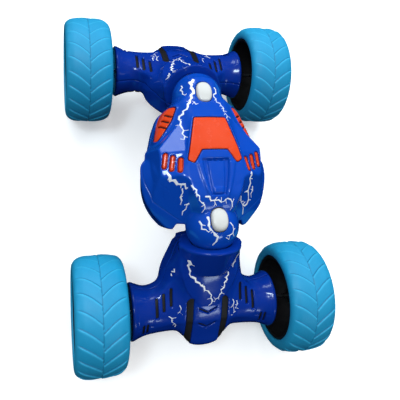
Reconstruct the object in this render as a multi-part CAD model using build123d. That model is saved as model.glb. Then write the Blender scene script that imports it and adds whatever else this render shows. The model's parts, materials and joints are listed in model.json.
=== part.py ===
from build123d import *
import os
from math import acos, cos, pi, radians, sin, tan

# Twist-leg stunt car.  A body pod hangs between two identical drive modules, one at each end.  Each
# module turns half a turn about a slanted hollow spigot, which drops the car flat or stands it up tall.
# Millimetres.  +X is to the right along the axles, -Y is the front, +Z is up, and the floor is z = 0.
# The rest pose is the tall one.

os.makedirs("parts", exist_ok=True)

# ---------------------------------------------------------------- driving dimensions
WHEEL_R = 50.0              # outside radius of a tyre
TYRE_WIDTH = 42.0
RIM_R = 38.0                # where the tyre sits on the rim
TRACK = 179.0               # between the middles of a left and a right tyre
WHEELBASE = 231.0           # between the axles in the tall pose
WALL = 2.0                  # moulded shells

BALL_Y = 57.0               # centre of a pod's end lobe, from the middle
BALL_Z = 112.0
BALL_R = 22.0
CUP_GAP = 0.5               # between the lobe and the module's cup
TWIST_TILT = 21.0           # how far the twist axis slopes down, outward, in degrees
MODULE_PITCH = 38.0         # how far a module's middle plane slopes down at rest, in degrees

MODULE_HALF = 21.0          # half thickness of a module
ARM_R = 19.8                # neck of an arm
FLANGE_R = 25.0             # end of an arm, beside the wheel
FLANGE_X = 64.0
AXLE_R = 2.0
AXLE_HOLE_R = 3.0           # through the housing, round an axle
BUSH_R = 5.0
RUN = 0.05                  # radial clearance of a running fit
FIT = 0.15                  # clearance all round a panel, door or screw head

DRIVE_TEETH = 46
DRIVE_PINION_TEETH = 12
DRIVE_MODULE = 0.7
TWIST_TEETH = 32
TWIST_PINION_TEETH = 12
TWIST_MODULE = 0.75
GEAR_WIDTH = 4.0

SPIGOT_R = 9.0
SPIGOT_BORE_R = 6.0
MOTOR_R = 9.5
SHAFT_R = 1.0
SCREW_R = 1.4
SCREW_HEAD_R = 2.8
SCREW_HEAD_H = 2.0
BOSS_R = 4.0
FAR = 200.0                 # past the whole car, for cutting

# Half outlines of the pod, right of the middle, from the rear round to the front, at each height.
POD_LEVELS = [
    (80.0, [(0, 34), (12, 34), (20, 30), (26, 21), (29, 12), (31, 2), (32, -12), (30, -24), (24, -30),
            (15, -34), (0, -34)]),
    (86.0, [(0, 38), (15, 38), (26, 34), (33, 24), (37, 14), (40, 2), (42, -13), (40, -27), (32, -34),
            (20, -38), (0, -38)]),
    (98.0, [(0, 46), (20, 46), (32, 41), (40, 29), (44.5, 16), (50, 2), (55, -14), (53, -30), (43, -40),
            (28, -46), (0, -46)]),
    (110.0, [(0, 54), (22, 54), (34, 47), (42.5, 31), (47, 17), (52, 2), (57, -14), (55, -32), (45, -45),
             (30, -54), (0, -55)]),
    (122.0, [(0, 52), (19, 52), (31, 45), (39, 31), (45, 14), (49, 1), (52, -14), (48, -31), (38, -43),
             (24, -51), (0, -52)]),
    (132.0, [(0, 46), (13, 46), (24, 41), (31, 28), (38, 11), (42, -1), (43, -13), (39, -27), (30, -38),
             (17, -46), (0, -48)]),
    (138.0, [(0, 35), (9, 34), (16, 30), (22, 21), (29, 7), (34, -3), (35, -12), (31, -23), (24, -33),
             (13, -41), (0, -43)]),
    (143.0, [(0, 10), (6, 10), (11, 9), (15, 5), (19, 0), (22, -5), (23, -11), (21, -19), (17, -27),
             (9, -34), (0, -36)]),
    (144.5, [(0, 2), (4, 2), (8, 1), (11, -1), (13, -4), (14.5, -8), (15, -12), (14, -18), (11, -24),
             (6, -30), (0, -31)]),
]
POD_SPLIT_Z = 110.0
POD_BOTTOM_Z = POD_LEVELS[0][0]
POD_TOP_Z = POD_LEVELS[-1][0]

# Half outlines of a module's middle in its own frame: origin on the axle, +Y towards the pod, +Z up
# out of its middle plane.  The same outline serves above and below the middle plane.
MODULE_LEVELS = [
    (0.0, [(0, -29), (10, -28), (17, -24), (24, -16), (34, -8), (37, 12), (36, 30), (33, 44), (28, 57),
           (0, 59)]),
    (14.0, [(0, -28), (10, -27), (16.5, -23), (21, -14), (26, -5), (29, 12), (30, 30), (28, 44),
            (23, 52), (0, 54)]),
    (MODULE_HALF, [(0, -24), (9, -23), (15, -20), (18.5, -12), (19, -4), (19.5, 10), (20.5, 26), (19, 38),
                   (15, 43), (0, 44)]),
]

AXLE_Y = -WHEELBASE / 2
FRONT = Location((0, AXLE_Y, WHEEL_R), (MODULE_PITCH, 0, 0))
HALF_TURN = Location((0, 0, 0), (0, 0, 180))
ENDS = {"front": Location((0, 0, 0)), "rear": HALF_TURN}


def module_point(y, z):
    """A point (y, z) of the pod's frame, in the front module's own frame."""
    dy = y - AXLE_Y
    dz = z - WHEEL_R
    pitch = radians(MODULE_PITCH)
    return dy * cos(pitch) + dz * sin(pitch), dz * cos(pitch) - dy * sin(pitch)


BALL_LOCAL_Y, BALL_LOCAL_Z = module_point(-BALL_Y, BALL_Z)
TWIST_LOCAL = MODULE_PITCH - TWIST_TILT
# Frames whose +Z runs outward along the front twist axis, from the lobe's centre, with +X to the right.
TWIST_FRAME = Location((0, -BALL_Y, BALL_Z), (90 + TWIST_TILT, 0, 0))
TWIST_IN_MODULE = Location((0, BALL_LOCAL_Y, BALL_LOCAL_Z), (90 - TWIST_LOCAL, 0, 0))


# ---------------------------------------------------------------- shared shapes
def closed_outline(half):
    """A closed outline from its right half, whose first and last points are on the middle line."""
    left = [(-x, y) for x, y in reversed(half[1:-1])]
    return Polyline(*(half + left), close=True)


def inset_half(half, by):
    """The same half outline, drawn in by a wall thickness."""
    widest = max(x for x, _ in half)
    longest = max(abs(y) for _, y in half)
    return [(x * (1 - by / widest), y * (1 - by / longest)) for x, y in half]


def loft_outlines(levels):
    faces = [Pos(0, 0, z) * make_face(closed_outline(half)) for z, half in levels]
    return loft(faces, ruled=True)


def tube_x(radius, low, high):
    """A round bar along X from low to high."""
    return Pos((low + high) / 2, 0, 0) * Rot(0, 90, 0) * Cylinder(radius, high - low)


def rod(radius, low, high):
    """A round bar along Z from low to high."""
    return Pos(0, 0, (low + high) / 2) * Cylinder(radius, high - low)


def block(x0, x1, y0, y1, z0, z1):
    return Pos((x0 + x1) / 2, (y0 + y1) / 2, (z0 + z1) / 2) * Box(x1 - x0, y1 - y0, z1 - z0)


def prism(points, z0, z1):
    return Pos(0, 0, z0) * extrude(make_face(Polyline(*points, close=True)), z1 - z0)


def mirror_x(shape):
    return mirror(shape, about=Plane.YZ)


def involute(angle):
    return tan(angle) - angle


def spur_gear(teeth, size, width, bore, tooth_at_x):
    """A spur gear on the XY plane, with a tooth or else a gap on the +X side."""
    pitch_r = teeth * size / 2
    base_r = pitch_r * cos(radians(20))
    slim = 0.84
    addendum = 0.8
    dedendum = 1.1
    half_at_pitch = slim * pi / (2 * teeth)

    def half_angle(radius):
        if radius <= base_r:
            return half_at_pitch + involute(radians(20))
        return half_at_pitch + involute(radians(20)) - involute(acos(base_r / radius))

    tip_r = pitch_r + addendum * size
    root_r = pitch_r - dedendum * size
    points = []
    for tooth in range(teeth):
        middle = 2 * pi * tooth / teeth
        if not tooth_at_x:
            middle += pi / teeth
        flank = [(r, half_angle(r)) for r in (root_r, max(base_r, root_r + 0.05), pitch_r, tip_r)]
        for r, a in flank:
            points.append((r * cos(middle - a), r * sin(middle - a)))
        for r, a in reversed(flank):
            points.append((r * cos(middle + a), r * sin(middle + a)))
    gear = extrude(make_face(Polyline(*points, close=True)), width)
    if bore > 0:
        gear -= rod(bore, -1, width + 1)
    return gear


def screw(length):
    """A cross-head screw along Z, with its head under the plane z = 0 and its thread above it."""
    head = rod(SCREW_HEAD_R, -SCREW_HEAD_H, 0)
    slot = block(-2.0, 2.0, -0.4, 0.4, -SCREW_HEAD_H, -SCREW_HEAD_H + 0.8)
    return head + rod(SCREW_R, 0, length) - slot - Rot(0, 0, 90) * slot


def motor(length, bore):
    """A small round-can motor along Z: its shaft end is at z = 0 and its can is below."""
    can = rod(MOTOR_R, -length, -1.5) + rod(3.5, -1.5, 0)
    flats = block(MOTOR_R - 1.5, MOTOR_R, -MOTOR_R, MOTOR_R, -length - 1, -1.5)
    can -= flats
    can -= mirror_x(flats)
    cap = rod(MOTOR_R - 2.5, -length - 1.2, -length)
    tags = block(3, 4, -1.2, 1.2, -length - 3.2, -length) + block(-4, -3, -1.2, 1.2, -length - 3.2, -length)
    return can + cap + tags - rod(bore, -6, 1)


# ---------------------------------------------------------------- the pod
LAMP_Y = {"front": 57.3, "rear": 52.5}     # how far out each lamp is
LAMP_RX = 7.2
LAMP_RY = 9.6
LAMP_PROUD = 2.8
LAMP_LOW_Z = BALL_Z + 8
HOOD = [(-14, 26.5), (14, 26.5), (22.5, -9), (21, -12.5), (16.5, -12.5), (10, -2), (-10, -2),
        (-16.5, -12.5), (-21, -12.5), (-22.5, -9)]
SIDE_WINDOW = [(25.5, 40.5), (34, 43.5), (39.5, 30), (43.5, 12), (37.5, 18), (29.5, 29)]
VENTS = [(27.5, -13.4), (33.5, -11.0), (39.5, -8.6)]
VENT_HALF = (1.6, 6.2)
VENT_BACK = 1.2
DOOR_HALF = (19.0, 25.0)
DOOR_LEDGE = 1.5
DOOR_SCREW_Y = -21.0
DOOR_COUNTERSINK = 1.2
SWITCH_Y = 29.2
SWITCH_TRAVEL = 4.0
KNOB_HALF = (1.8, 1.3)
BODY_SCREWS = [(41, -27), (37, 21)]
BODY_SCREW_Z = 93.0
BODY_SCREW_LENGTH = 24.0
SCREW_TIP_ROOM = 4.0
CELL_R = 7.6
CELL_LENGTH = 42.0
BOARD_X = 33.0
BOARD_T = 1.6
BOARD_Z = (94.0, 122.0)
LED_Z = 125.0
BUSH_OUT_R = 12.0
BUSH_T = (10.0, 18.0)       # from the lobe's centre, outward
BUSH_BOSS_T = (8.5, 24.0)


def pod_solid(inset=0.0):
    """The pod's bulk without its lobes, drawn in by the inset on every side."""
    levels = [(z, inset_half(half, inset)) for z, half in POD_LEVELS]
    levels[0] = (POD_BOTTOM_Z + inset, levels[0][1])
    levels[-1] = (POD_TOP_Z - inset, levels[-1][1])
    levels[-2] = (POD_LEVELS[-2][0] - inset, levels[-2][1])
    return loft_outlines(levels)


def lobe(radius):
    return Pos(0, -BALL_Y, BALL_Z) * Sphere(radius)


def lamp_prism(end):
    oval = make_face(Ellipse(LAMP_RX, LAMP_RY).edge())
    return Pos(0, -LAMP_Y[end], LAMP_LOW_Z) * extrude(oval, POD_TOP_Z - LAMP_LOW_Z)


def hood_prism():
    return prism(HOOD, POD_SPLIT_Z + 10, POD_TOP_Z + 5)


def window_prism():
    return prism(SIDE_WINDOW, POD_SPLIT_Z + 1, POD_TOP_Z)


def vent_bars():
    hx, hy = VENT_HALF
    return [block(x - hx, x + hx, y - hy, y + hy, POD_SPLIT_Z, POD_TOP_Z + 5) for x, y in VENTS]


def at_body_screws(shape):
    return [Pos(sx * x, y, 0) * shape for x, y in BODY_SCREWS for sx in (1, -1)]


def pod_hollow():
    hollow = pod_solid(WALL)
    for place in ENDS.values():
        hollow += place * lobe(BALL_R - WALL)
    return hollow


def pod_shell(outer):
    """The whole hollow pod with its bosses and bores, before it is split in two."""
    shell = outer - pod_hollow()
    for post in at_body_screws(rod(BOSS_R, POD_BOTTOM_Z - 1, POD_TOP_Z)):
        shell += post & outer
    boss = TWIST_FRAME * rod(BUSH_OUT_R + 3, *BUSH_BOSS_T)
    seat = TWIST_FRAME * rod(BUSH_OUT_R, 0, 2 * BALL_R)
    led_rib = block(-16, 16, -BALL_Y - 2.5, -BALL_Y + 2.5, LED_Z - WALL, LED_Z)
    for end, place in ENDS.items():
        shell += place * ((boss + led_rib) & lobe(BALL_R))
        shell -= place * (seat + lamp_prism(end))
    thread = rod(SCREW_R, BODY_SCREW_Z, BODY_SCREW_Z + BODY_SCREW_LENGTH + SCREW_TIP_ROOM)
    head_well = rod(SCREW_HEAD_R + FIT, POD_BOTTOM_Z - 1, BODY_SCREW_Z)
    for hole in at_body_screws(thread + head_well):
        shell -= hole
    return shell


def belly_cuts(lower):
    """The battery opening with its ledge and screw pad, and the switch's slot."""
    hx, hy = DOOR_HALF
    z = POD_BOTTOM_Z + WALL
    lower -= block(-hx, hx, -hy, hy, POD_BOTTOM_Z - 1, z)
    frame = block(-hx - 1, hx + 1, -hy - 1, hy + 1, z, z + 1.2)
    frame -= block(DOOR_LEDGE - hx, hx - DOOR_LEDGE, DOOR_LEDGE - hy, hy - DOOR_LEDGE, z, z + 1.2)
    lower += frame + block(-4.5, 4.5, DOOR_SCREW_Y - 4.2, DOOR_SCREW_Y + 4.2, z, z + 1.2)
    lower -= Pos(0, DOOR_SCREW_Y, 0) * rod(SCREW_R, POD_BOTTOM_Z - 1, z + 10)
    slot_x = SWITCH_TRAVEL / 2 + KNOB_HALF[0] + 1.1
    slot_y = KNOB_HALF[1] + 0.4
    return lower - block(-slot_x, slot_x, SWITCH_Y - slot_y, SWITCH_Y + slot_y, POD_BOTTOM_Z - 1, z + 0.5)


def body_shells(outer):
    shell = pod_shell(outer)
    high = block(-FAR, FAR, -FAR, FAR, POD_SPLIT_Z, FAR)
    upper = (shell & high) - hood_prism()
    for opening in [window_prism()] + vent_bars():
        upper -= opening
        upper -= mirror_x(opening)
    return upper, belly_cuts(shell - high)


def vent_insert(bulk):
    """Three bars in the shell's slots, on one backing plate behind them."""
    inner = pod_solid(WALL)
    plate = block(VENTS[0][0] - 3, VENTS[2][0] + 3, -20, -2, POD_SPLIT_Z + 2, POD_TOP_Z)
    insert = (inner - pod_solid(WALL + VENT_BACK)) & plate
    for bar in vent_bars():
        insert += (bulk - inner) & bar
    return insert


def lamp_lens(end):
    dome = Pos(0, -LAMP_Y[end], BALL_Z) * Sphere(BALL_R + LAMP_PROUD)
    return ENDS[end] * (lamp_prism(end) & dome) - pod_hollow()


def lamp_led():
    board = rod(6.0, LED_Z, LED_Z + 1.2)
    led = rod(2.5, LED_Z + 1.2, LED_Z + 3.5) + Pos(0, 0, LED_Z + 3.5) * Sphere(2.5)
    return Pos(0, -BALL_Y, 0) * (board + led)


def battery_door():
    hx = DOOR_HALF[0] - FIT
    hy = DOOR_HALF[1] - FIT
    door = block(-hx, hx, -hy, hy, POD_BOTTOM_Z, POD_BOTTOM_Z + WALL)
    for y in range(8, 21, 3):
        door -= block(-11, 11, y - 0.6, y + 0.6, POD_BOTTOM_Z - 1, POD_BOTTOM_Z + 0.6)
    countersink = rod(SCREW_HEAD_R + FIT, POD_BOTTOM_Z - 1, POD_BOTTOM_Z + DOOR_COUNTERSINK)
    hole = rod(SCREW_R + FIT, POD_BOTTOM_Z - 1, POD_BOTTOM_Z + WALL + 1)
    return door - Pos(0, DOOR_SCREW_Y, 0) * (countersink + hole)


def door_screw():
    z = POD_BOTTOM_Z + DOOR_COUNTERSINK
    head = rod(SCREW_HEAD_R, POD_BOTTOM_Z + 0.1, z)
    slot = block(-2, 2, -0.35, 0.35, POD_BOTTOM_Z, POD_BOTTOM_Z + 0.7)
    return Pos(0, DOOR_SCREW_Y, 0) * (head + rod(SCREW_R, z, z + 5) - slot)


def battery_pack():
    """Two round cells side by side in a shrink sleeve."""
    z = POD_BOTTOM_Z + WALL + 1.4 + CELL_R
    cell = Pos(CELL_R, 2, z) * Rot(90, 0, 0) * Cylinder(CELL_R, CELL_LENGTH)
    sleeve = block(-CELL_R, CELL_R, 2 - CELL_LENGTH / 2, 2 + CELL_LENGTH / 2, z - CELL_R, z + CELL_R)
    return cell + mirror_x(cell) + sleeve


def circuit_board():
    x0 = BOARD_X
    x1 = BOARD_X + BOARD_T
    low, high = BOARD_Z
    board = block(x0, x1, -22, 16, low, high)
    chips = block(x0 - 2, x0, -14, -2, 102, 114) + block(x0 - 3.5, x0, 6, 14, 100, 106)
    capacitor = Pos(x0 - 3, 10, 116) * Rot(0, 90, 0) * Cylinder(3, 6)
    feet = block(x0, x1, -18, -12, POD_BOTTOM_Z, low) + block(x0, x1, 4, 10, POD_BOTTOM_Z, low)
    return board + chips + capacitor + (feet & pod_solid(WALL))


def switch_body():
    z = POD_BOTTOM_Z + WALL
    body = block(-8, 8, SWITCH_Y - 2.7, SWITCH_Y + 2.7, z, z + 5)
    well = block(-SWITCH_TRAVEL - 0.4, SWITCH_TRAVEL + 0.4, SWITCH_Y - 1.5, SWITCH_Y + 1.5, z - 1, z + 2.5)
    return body - well


def switch_knob():
    z = POD_BOTTOM_Z
    x = -SWITCH_TRAVEL / 2
    hx, hy = KNOB_HALF
    knob = block(x - hx, x + hx, SWITCH_Y - hy, SWITCH_Y + hy, z - 1.2, z + WALL + 2.2)
    for step in (-1.1, 0, 1.1):
        knob -= block(x + step - 0.2, x + step + 0.2, SWITCH_Y - 2, SWITCH_Y + 2, z - 2, z - 0.8)
    return knob


def body_screws():
    return Compound(at_body_screws(Pos(0, 0, BODY_SCREW_Z) * screw(BODY_SCREW_LENGTH)))


# ---------------------------------------------------------------- twist drive
TWIST_GEAR_T = -24.0
TWIST_PINION_PHI = 60.0
TWIST_CENTRES = (TWIST_TEETH + TWIST_PINION_TEETH) * TWIST_MODULE / 2
TWIST_MOTOR_LENGTH = 30.0
SPIGOT_FLANGE_R = 13.0
SPIGOT_FLANGE_T = (24.8, 27.3)


def twist_mesh():
    """A frame on the pinion's axis, whose +X points back at the twist gear's axis."""
    turn = Rot(0, 0, -90 - TWIST_PINION_PHI)
    return TWIST_FRAME * turn


def spigot():
    tube = rod(SPIGOT_R, TWIST_GEAR_T, SPIGOT_FLANGE_T[0]) + rod(SPIGOT_FLANGE_R, *SPIGOT_FLANGE_T)
    return TWIST_FRAME * (tube - rod(SPIGOT_BORE_R, TWIST_GEAR_T - 1, SPIGOT_FLANGE_T[1] + 1))


def twist_gear():
    gear = spur_gear(TWIST_TEETH, TWIST_MODULE, GEAR_WIDTH, SPIGOT_R, True)
    return twist_mesh() * Pos(0, 0, TWIST_GEAR_T) * gear


def twist_pinion():
    pinion = spur_gear(TWIST_PINION_TEETH, TWIST_MODULE, GEAR_WIDTH, 0, TWIST_PINION_TEETH % 2 == 1)
    shaft = rod(SHAFT_R, -5, 0)
    return twist_mesh() * Pos(TWIST_CENTRES, 0, TWIST_GEAR_T) * (pinion + shaft)


def twist_motor():
    can = motor(TWIST_MOTOR_LENGTH, SHAFT_R + RUN)
    return twist_mesh() * Pos(TWIST_CENTRES, 0, TWIST_GEAR_T - 0.5) * can


def twist_bush():
    ring = rod(BUSH_OUT_R, *BUSH_T) - rod(SPIGOT_R + RUN, BUSH_T[0] - 1, BUSH_T[1] + 1)
    return TWIST_FRAME * ring


# ---------------------------------------------------------------- drive modules, in their own frame
COLLAR = ((27.0, 72.0, BALL_LOCAL_Z), (23.5, 43.0, 2.5))    # radius, y and z of the collar's two ends
ARM_ROOT_X = 30.0
GEAR_X = 25.5
DRIVE_CENTRES = (DRIVE_TEETH + DRIVE_PINION_TEETH) * DRIVE_MODULE / 2
MOTOR_LENGTH = 21.0
INNER_BUSH = (18.0, 24.0)
OUTER_BUSH = (56.0, 62.0)
HOUSING_SCREWS = [(30, 33), (14, -17)]
SLOT_X = (12.0, 18.0)
SLOT_Y = (-32.0, 18.0)
SLOT_DEPTH = 1.4
HOUSING_SCREW_Z = -12.0
HOUSING_SCREW_LENGTH = 20.0
CUP_WALL = 2.2
WEB_X = (19.0, 23.0)        # inner bearing web
FLANGE_WEB_X = (56.5, 61.5)


def arm_profile(inset):
    """Half of an arm's section, from the middle of the car out to the flange, for turning about X."""
    neck = ARM_R - inset
    flange = FLANGE_R - inset
    end = FLANGE_X - inset * 1.2
    swell = [(47, neck), (53, neck + 0.9), (58, neck + 3.4), (60.5 - inset * 0.5, flange)]
    return make_face(Polyline((0, 0), (0, neck), *swell, (end, flange), (end, 0), close=True))


def arms(inset=0.0):
    arm = revolve(arm_profile(inset), Axis.X)
    return arm + mirror_x(arm)


def module_middle(inset=0.0):
    above = [(z, inset_half(half, inset)) for z, half in MODULE_LEVELS]
    below = [(-z, half) for z, half in reversed(above[1:])]
    levels = below + above
    levels[0] = (levels[0][0] + inset, levels[0][1])
    levels[-1] = (levels[-1][0] - inset, levels[-1][1])
    return loft_outlines(levels)


def collar(inset=0.0):
    ends = []
    for radius, y, z in COLLAR:
        ends.append(Pos(0, y, z) * Rot(90, 0, 0) * make_face(Circle(radius - inset).edge()))
    return loft(ends, ruled=True)


def module_solid(inset=0.0):
    return module_middle(inset) + collar(inset) + arms(inset)


def slot_bars():
    bar = block(SLOT_X[0], SLOT_X[1], SLOT_Y[0], SLOT_Y[1], -40, 40)
    return [bar, mirror_x(bar)]


def span_x(side, low, high):
    """The two ends, in rising order, of a span of x on one side of the car."""
    return sorted((side * low, side * high))


def at_housing_screws(shape):
    return [Pos(sx * x, y, 0) * shape for x, y in HOUSING_SCREWS for sx in (1, -1)]


def module_webs():
    """What stands inside a module: two bearing webs for each axle, and the screw bosses."""
    webs = at_housing_screws(rod(BOSS_R, -MODULE_HALF, MODULE_HALF))
    for side in (1, -1):
        webs.append(block(*span_x(side, *WEB_X), -7, 7, -MODULE_HALF, MODULE_HALF))
        webs.append(tube_x(FLANGE_R - 0.5, *span_x(side, *FLANGE_WEB_X)))
    return webs


def module_bores():
    """What is cut out of a module: seats for the bushes, ways for the axles, and the screw holes."""
    thread = rod(SCREW_R, HOUSING_SCREW_Z, HOUSING_SCREW_Z + HOUSING_SCREW_LENGTH + WALL)
    bores = at_housing_screws(thread + rod(SCREW_HEAD_R + FIT, -FAR, HOUSING_SCREW_Z))
    for side in (1, -1):
        bores.append(tube_x(BUSH_R, *span_x(side, *INNER_BUSH)))
        bores.append(tube_x(BUSH_R, *span_x(side, OUTER_BUSH[0], FLANGE_X + 1)))
        bores.append(tube_x(AXLE_HOLE_R, *span_x(side, 16, 70)))
    return bores


def module_shells(outer):
    at_lobe = Pos(0, BALL_LOCAL_Y, BALL_LOCAL_Z)
    cup = at_lobe * Sphere(BALL_R + CUP_GAP)
    cup_wall = at_lobe * Sphere(BALL_R + CUP_GAP + CUP_WALL)
    mouth = block(-40, 40, COLLAR[0][1] - CUP_WALL, COLLAR[0][1] + 5, -60, 60)
    shell = outer - (module_solid(WALL) - cup_wall - mouth)
    shell += (TWIST_IN_MODULE * rod(SPIGOT_FLANGE_R, BALL_R - 4, SPIGOT_FLANGE_T[0])) & outer
    for web in module_webs():
        shell += web & outer
    for bore in module_bores():
        shell -= bore
    shell -= cup
    shell -= TWIST_IN_MODULE * rod(SPIGOT_R, 0, SPIGOT_FLANGE_T[0] + 0.1)
    shell -= TWIST_IN_MODULE * rod(SPIGOT_FLANGE_R, *SPIGOT_FLANGE_T)
    inlay_core = module_middle(SLOT_DEPTH)
    for bar in slot_bars():
        shell -= (bar & outer) - inlay_core
    high = block(-FAR, FAR, -FAR, FAR, 0, FAR)
    return shell & high, shell - high


def housing_screws():
    return Compound(at_housing_screws(Pos(0, 0, HOUSING_SCREW_Z) * screw(HOUSING_SCREW_LENGTH)))


def slot_inlays(outer):
    skin = outer - module_middle(SLOT_DEPTH)
    return Compound([solid for bar in slot_bars() for solid in (skin & bar).solids()])


def drive_mesh(side):
    """A frame on the axle, +Z outward along it, whose +X points at the motor's axis."""
    return Location(Plane(origin=(0, 0, 0), x_dir=(0, 1, 0), z_dir=(side, 0, 0)))


def drive_gear(side):
    gear = spur_gear(DRIVE_TEETH, DRIVE_MODULE, GEAR_WIDTH, AXLE_R, True)
    hub = rod(4.5, GEAR_WIDTH, GEAR_WIDTH + 4) - rod(AXLE_R, 0, GEAR_WIDTH + 5)
    return drive_mesh(side) * Pos(0, 0, GEAR_X) * (gear + hub)


def motor_pinion(side):
    pinion = spur_gear(DRIVE_PINION_TEETH, DRIVE_MODULE, GEAR_WIDTH, 0, DRIVE_PINION_TEETH % 2 == 1)
    return drive_mesh(side) * Pos(DRIVE_CENTRES, 0, GEAR_X) * (pinion + rod(SHAFT_R, -5, 0))


def drive_motors():
    can = Pos(DRIVE_CENTRES, 0, GEAR_X - 0.5) * motor(MOTOR_LENGTH, SHAFT_R + RUN)
    return Compound([drive_mesh(side) * can for side in (1, -1)])


def axle_bushes():
    rings = []
    for side in (1, -1):
        for low, high in (INNER_BUSH, OUTER_BUSH):
            ring = rod(BUSH_R, low, high) - rod(AXLE_R + RUN, low - 1, high + 1)
            rings.append(drive_mesh(side) * ring)
    return Compound(rings)


def axle(side):
    return drive_mesh(side) * rod(AXLE_R, INNER_BUSH[0] + 0.5, TRACK / 2 + 13)


# ---------------------------------------------------------------- wheels, in a module's own frame
TYRE_WALL = 3.2
BEAD_WIDTH = 5.0
RIM_WALL = 2.0
SPOKES = 5
SIDEWALL_EASE = 0.12        # the sidewall's curve swells this far past its points


def tyre_profile(inset=0.0):
    half = TYRE_WIDTH / 2
    bead = half - 1.0 - inset
    crown = WHEEL_R - inset
    foot = (bead, RIM_R + 1.5)
    side = (half - SIDEWALL_EASE - inset, RIM_R + 6)
    shoulder = (half - 3.2 - inset * 0.8, crown - 1.7)
    edge = (half - 9, crown - 0.35)
    with BuildSketch(Plane.XZ) as section:
        with BuildLine():
            Polyline((bead, 0), foot)
            Spline(foot, side, shoulder, edge, tangents=((0.5, 1), (-1, 0.06)))
            Line(edge, (0, crown))
            Line((0, crown), (0, 0))
            Line((0, 0), (bead, 0))
        make_face()
    return section.sketch


def tyre_solid(inset=0.0):
    half = revolve(tyre_profile(inset), Axis.X)
    return half + mirror_x(half)


def tyre():
    cavity = tyre_solid(TYRE_WALL)
    bead_inner = TYRE_WIDTH / 2 - BEAD_WIDTH
    beads = tube_x(RIM_R + 3, -TYRE_WIDTH, TYRE_WIDTH) - tube_x(RIM_R + 3, -bead_inner, bead_inner)
    return tyre_solid() - (cavity - beads) - tube_x(RIM_R, -TYRE_WIDTH, TYRE_WIDTH)


def rim():
    """A sleeve open to the inside, with a spoked web near its outer face.  +X is outward."""
    half = TYRE_WIDTH / 2
    sleeve = tube_x(RIM_R, -half + 1.5, half - 1.5) - tube_x(RIM_R - RIM_WALL, -half, half)
    web = tube_x(RIM_R - RIM_WALL / 2, half - 9, half - 6)
    window = Pos(half - 7, 23, 0) * Rot(0, 90, 0) * Cylinder(6.5, 10)
    for i in range(SPOKES):
        web -= Rot(i * 360 / SPOKES, 0, 0) * window
    hub = tube_x(8, -2, half - 3)
    return sleeve + web + hub - tube_x(AXLE_R, -5, 13)


def wheel_place(side):
    if side > 0:
        return Pos(TRACK / 2, 0, 0)
    return Pos(-TRACK / 2, 0, 0) * Rot(0, 0, 180)


# ---------------------------------------------------------------- build every node
def save(shape, node):
    export_step(shape, f"parts/{node}.step")


def build_pod():
    bulk = pod_solid()
    skin = bulk - pod_solid(WALL)
    outer = bulk
    for place in ENDS.values():
        outer += place * lobe(BALL_R)
    upper, lower = body_shells(outer)
    save(upper, "upper_shell")
    save(lower, "lower_shell")
    save(skin & hood_prism(), "hood_window")
    window = skin & window_prism()
    save(window, "side_window_right")
    save(mirror_x(window), "side_window_left")
    insert = vent_insert(bulk)
    save(insert, "vent_insert_right")
    save(mirror_x(insert), "vent_insert_left")
    save(Compound([place * lamp_led() for place in ENDS.values()]), "lamp_leds")
    save(Compound([place * twist_bush() for place in ENDS.values()]), "twist_bushes")
    save(battery_door(), "battery_door")
    save(door_screw(), "battery_door_screw")
    save(battery_pack(), "battery_pack")
    save(circuit_board(), "circuit_board")
    save(switch_body(), "switch_body")
    save(switch_knob(), "switch_knob")
    save(body_screws(), "body_screws")
    for end, place in ENDS.items():
        save(lamp_lens(end), f"{end}_lamp_lens")
        save(place * twist_motor(), f"{end}_twist_motor")
        save(place * twist_pinion(), f"{end}_twist_pinion")


def build_modules():
    outer = module_solid()
    upper, lower = module_shells(outer)
    for end, turn in ENDS.items():
        place = turn * FRONT
        save(place * upper, f"{end}_housing_upper")
        save(place * lower, f"{end}_housing_lower")
        save(place * slot_inlays(outer), f"{end}_slot_inlays")
        save(place * drive_motors(), f"{end}_drive_motors")
        save(place * axle_bushes(), f"{end}_axle_bushes")
        save(place * housing_screws(), f"{end}_housing_screws")
        save(turn * spigot(), f"{end}_spigot")
        save(turn * twist_gear(), f"{end}_twist_gear")


def build_wheels():
    one_tyre = tyre()
    one_rim = rim()
    for end, turn in ENDS.items():
        place = turn * FRONT
        for side in (1, -1):
            on_right = (side > 0) == (end == "front")
            name = end + ("_right" if on_right else "_left")
            save(place * wheel_place(side) * one_tyre, f"{name}_tyre")
            save(place * wheel_place(side) * one_rim, f"{name}_rim")
            save(place * axle(side), f"{name}_axle")
            save(place * drive_gear(side), f"{name}_drive_gear")
            save(place * motor_pinion(side), f"{name}_motor_pinion")


build_pod()
build_modules()
build_wheels()
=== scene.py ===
import json
import math
import bpy
import numpy as np
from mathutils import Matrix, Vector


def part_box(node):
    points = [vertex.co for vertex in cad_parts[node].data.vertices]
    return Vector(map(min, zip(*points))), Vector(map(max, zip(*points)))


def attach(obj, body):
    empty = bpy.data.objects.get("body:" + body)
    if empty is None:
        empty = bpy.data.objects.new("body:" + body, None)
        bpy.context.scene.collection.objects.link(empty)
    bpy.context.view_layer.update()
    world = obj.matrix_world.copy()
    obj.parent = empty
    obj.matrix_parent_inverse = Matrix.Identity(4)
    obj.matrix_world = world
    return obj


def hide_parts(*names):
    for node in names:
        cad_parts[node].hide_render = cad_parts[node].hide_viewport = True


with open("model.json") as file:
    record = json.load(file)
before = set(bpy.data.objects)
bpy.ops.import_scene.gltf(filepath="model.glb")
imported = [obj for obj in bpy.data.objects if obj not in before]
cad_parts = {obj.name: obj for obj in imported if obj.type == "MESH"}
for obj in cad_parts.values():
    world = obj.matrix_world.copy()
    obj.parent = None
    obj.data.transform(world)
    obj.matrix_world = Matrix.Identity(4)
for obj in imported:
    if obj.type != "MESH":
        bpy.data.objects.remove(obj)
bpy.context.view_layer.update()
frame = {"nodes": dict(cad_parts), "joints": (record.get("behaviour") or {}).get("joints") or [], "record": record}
import openvdb
from mathutils import Matrix, Vector

MM = 0.001

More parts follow.
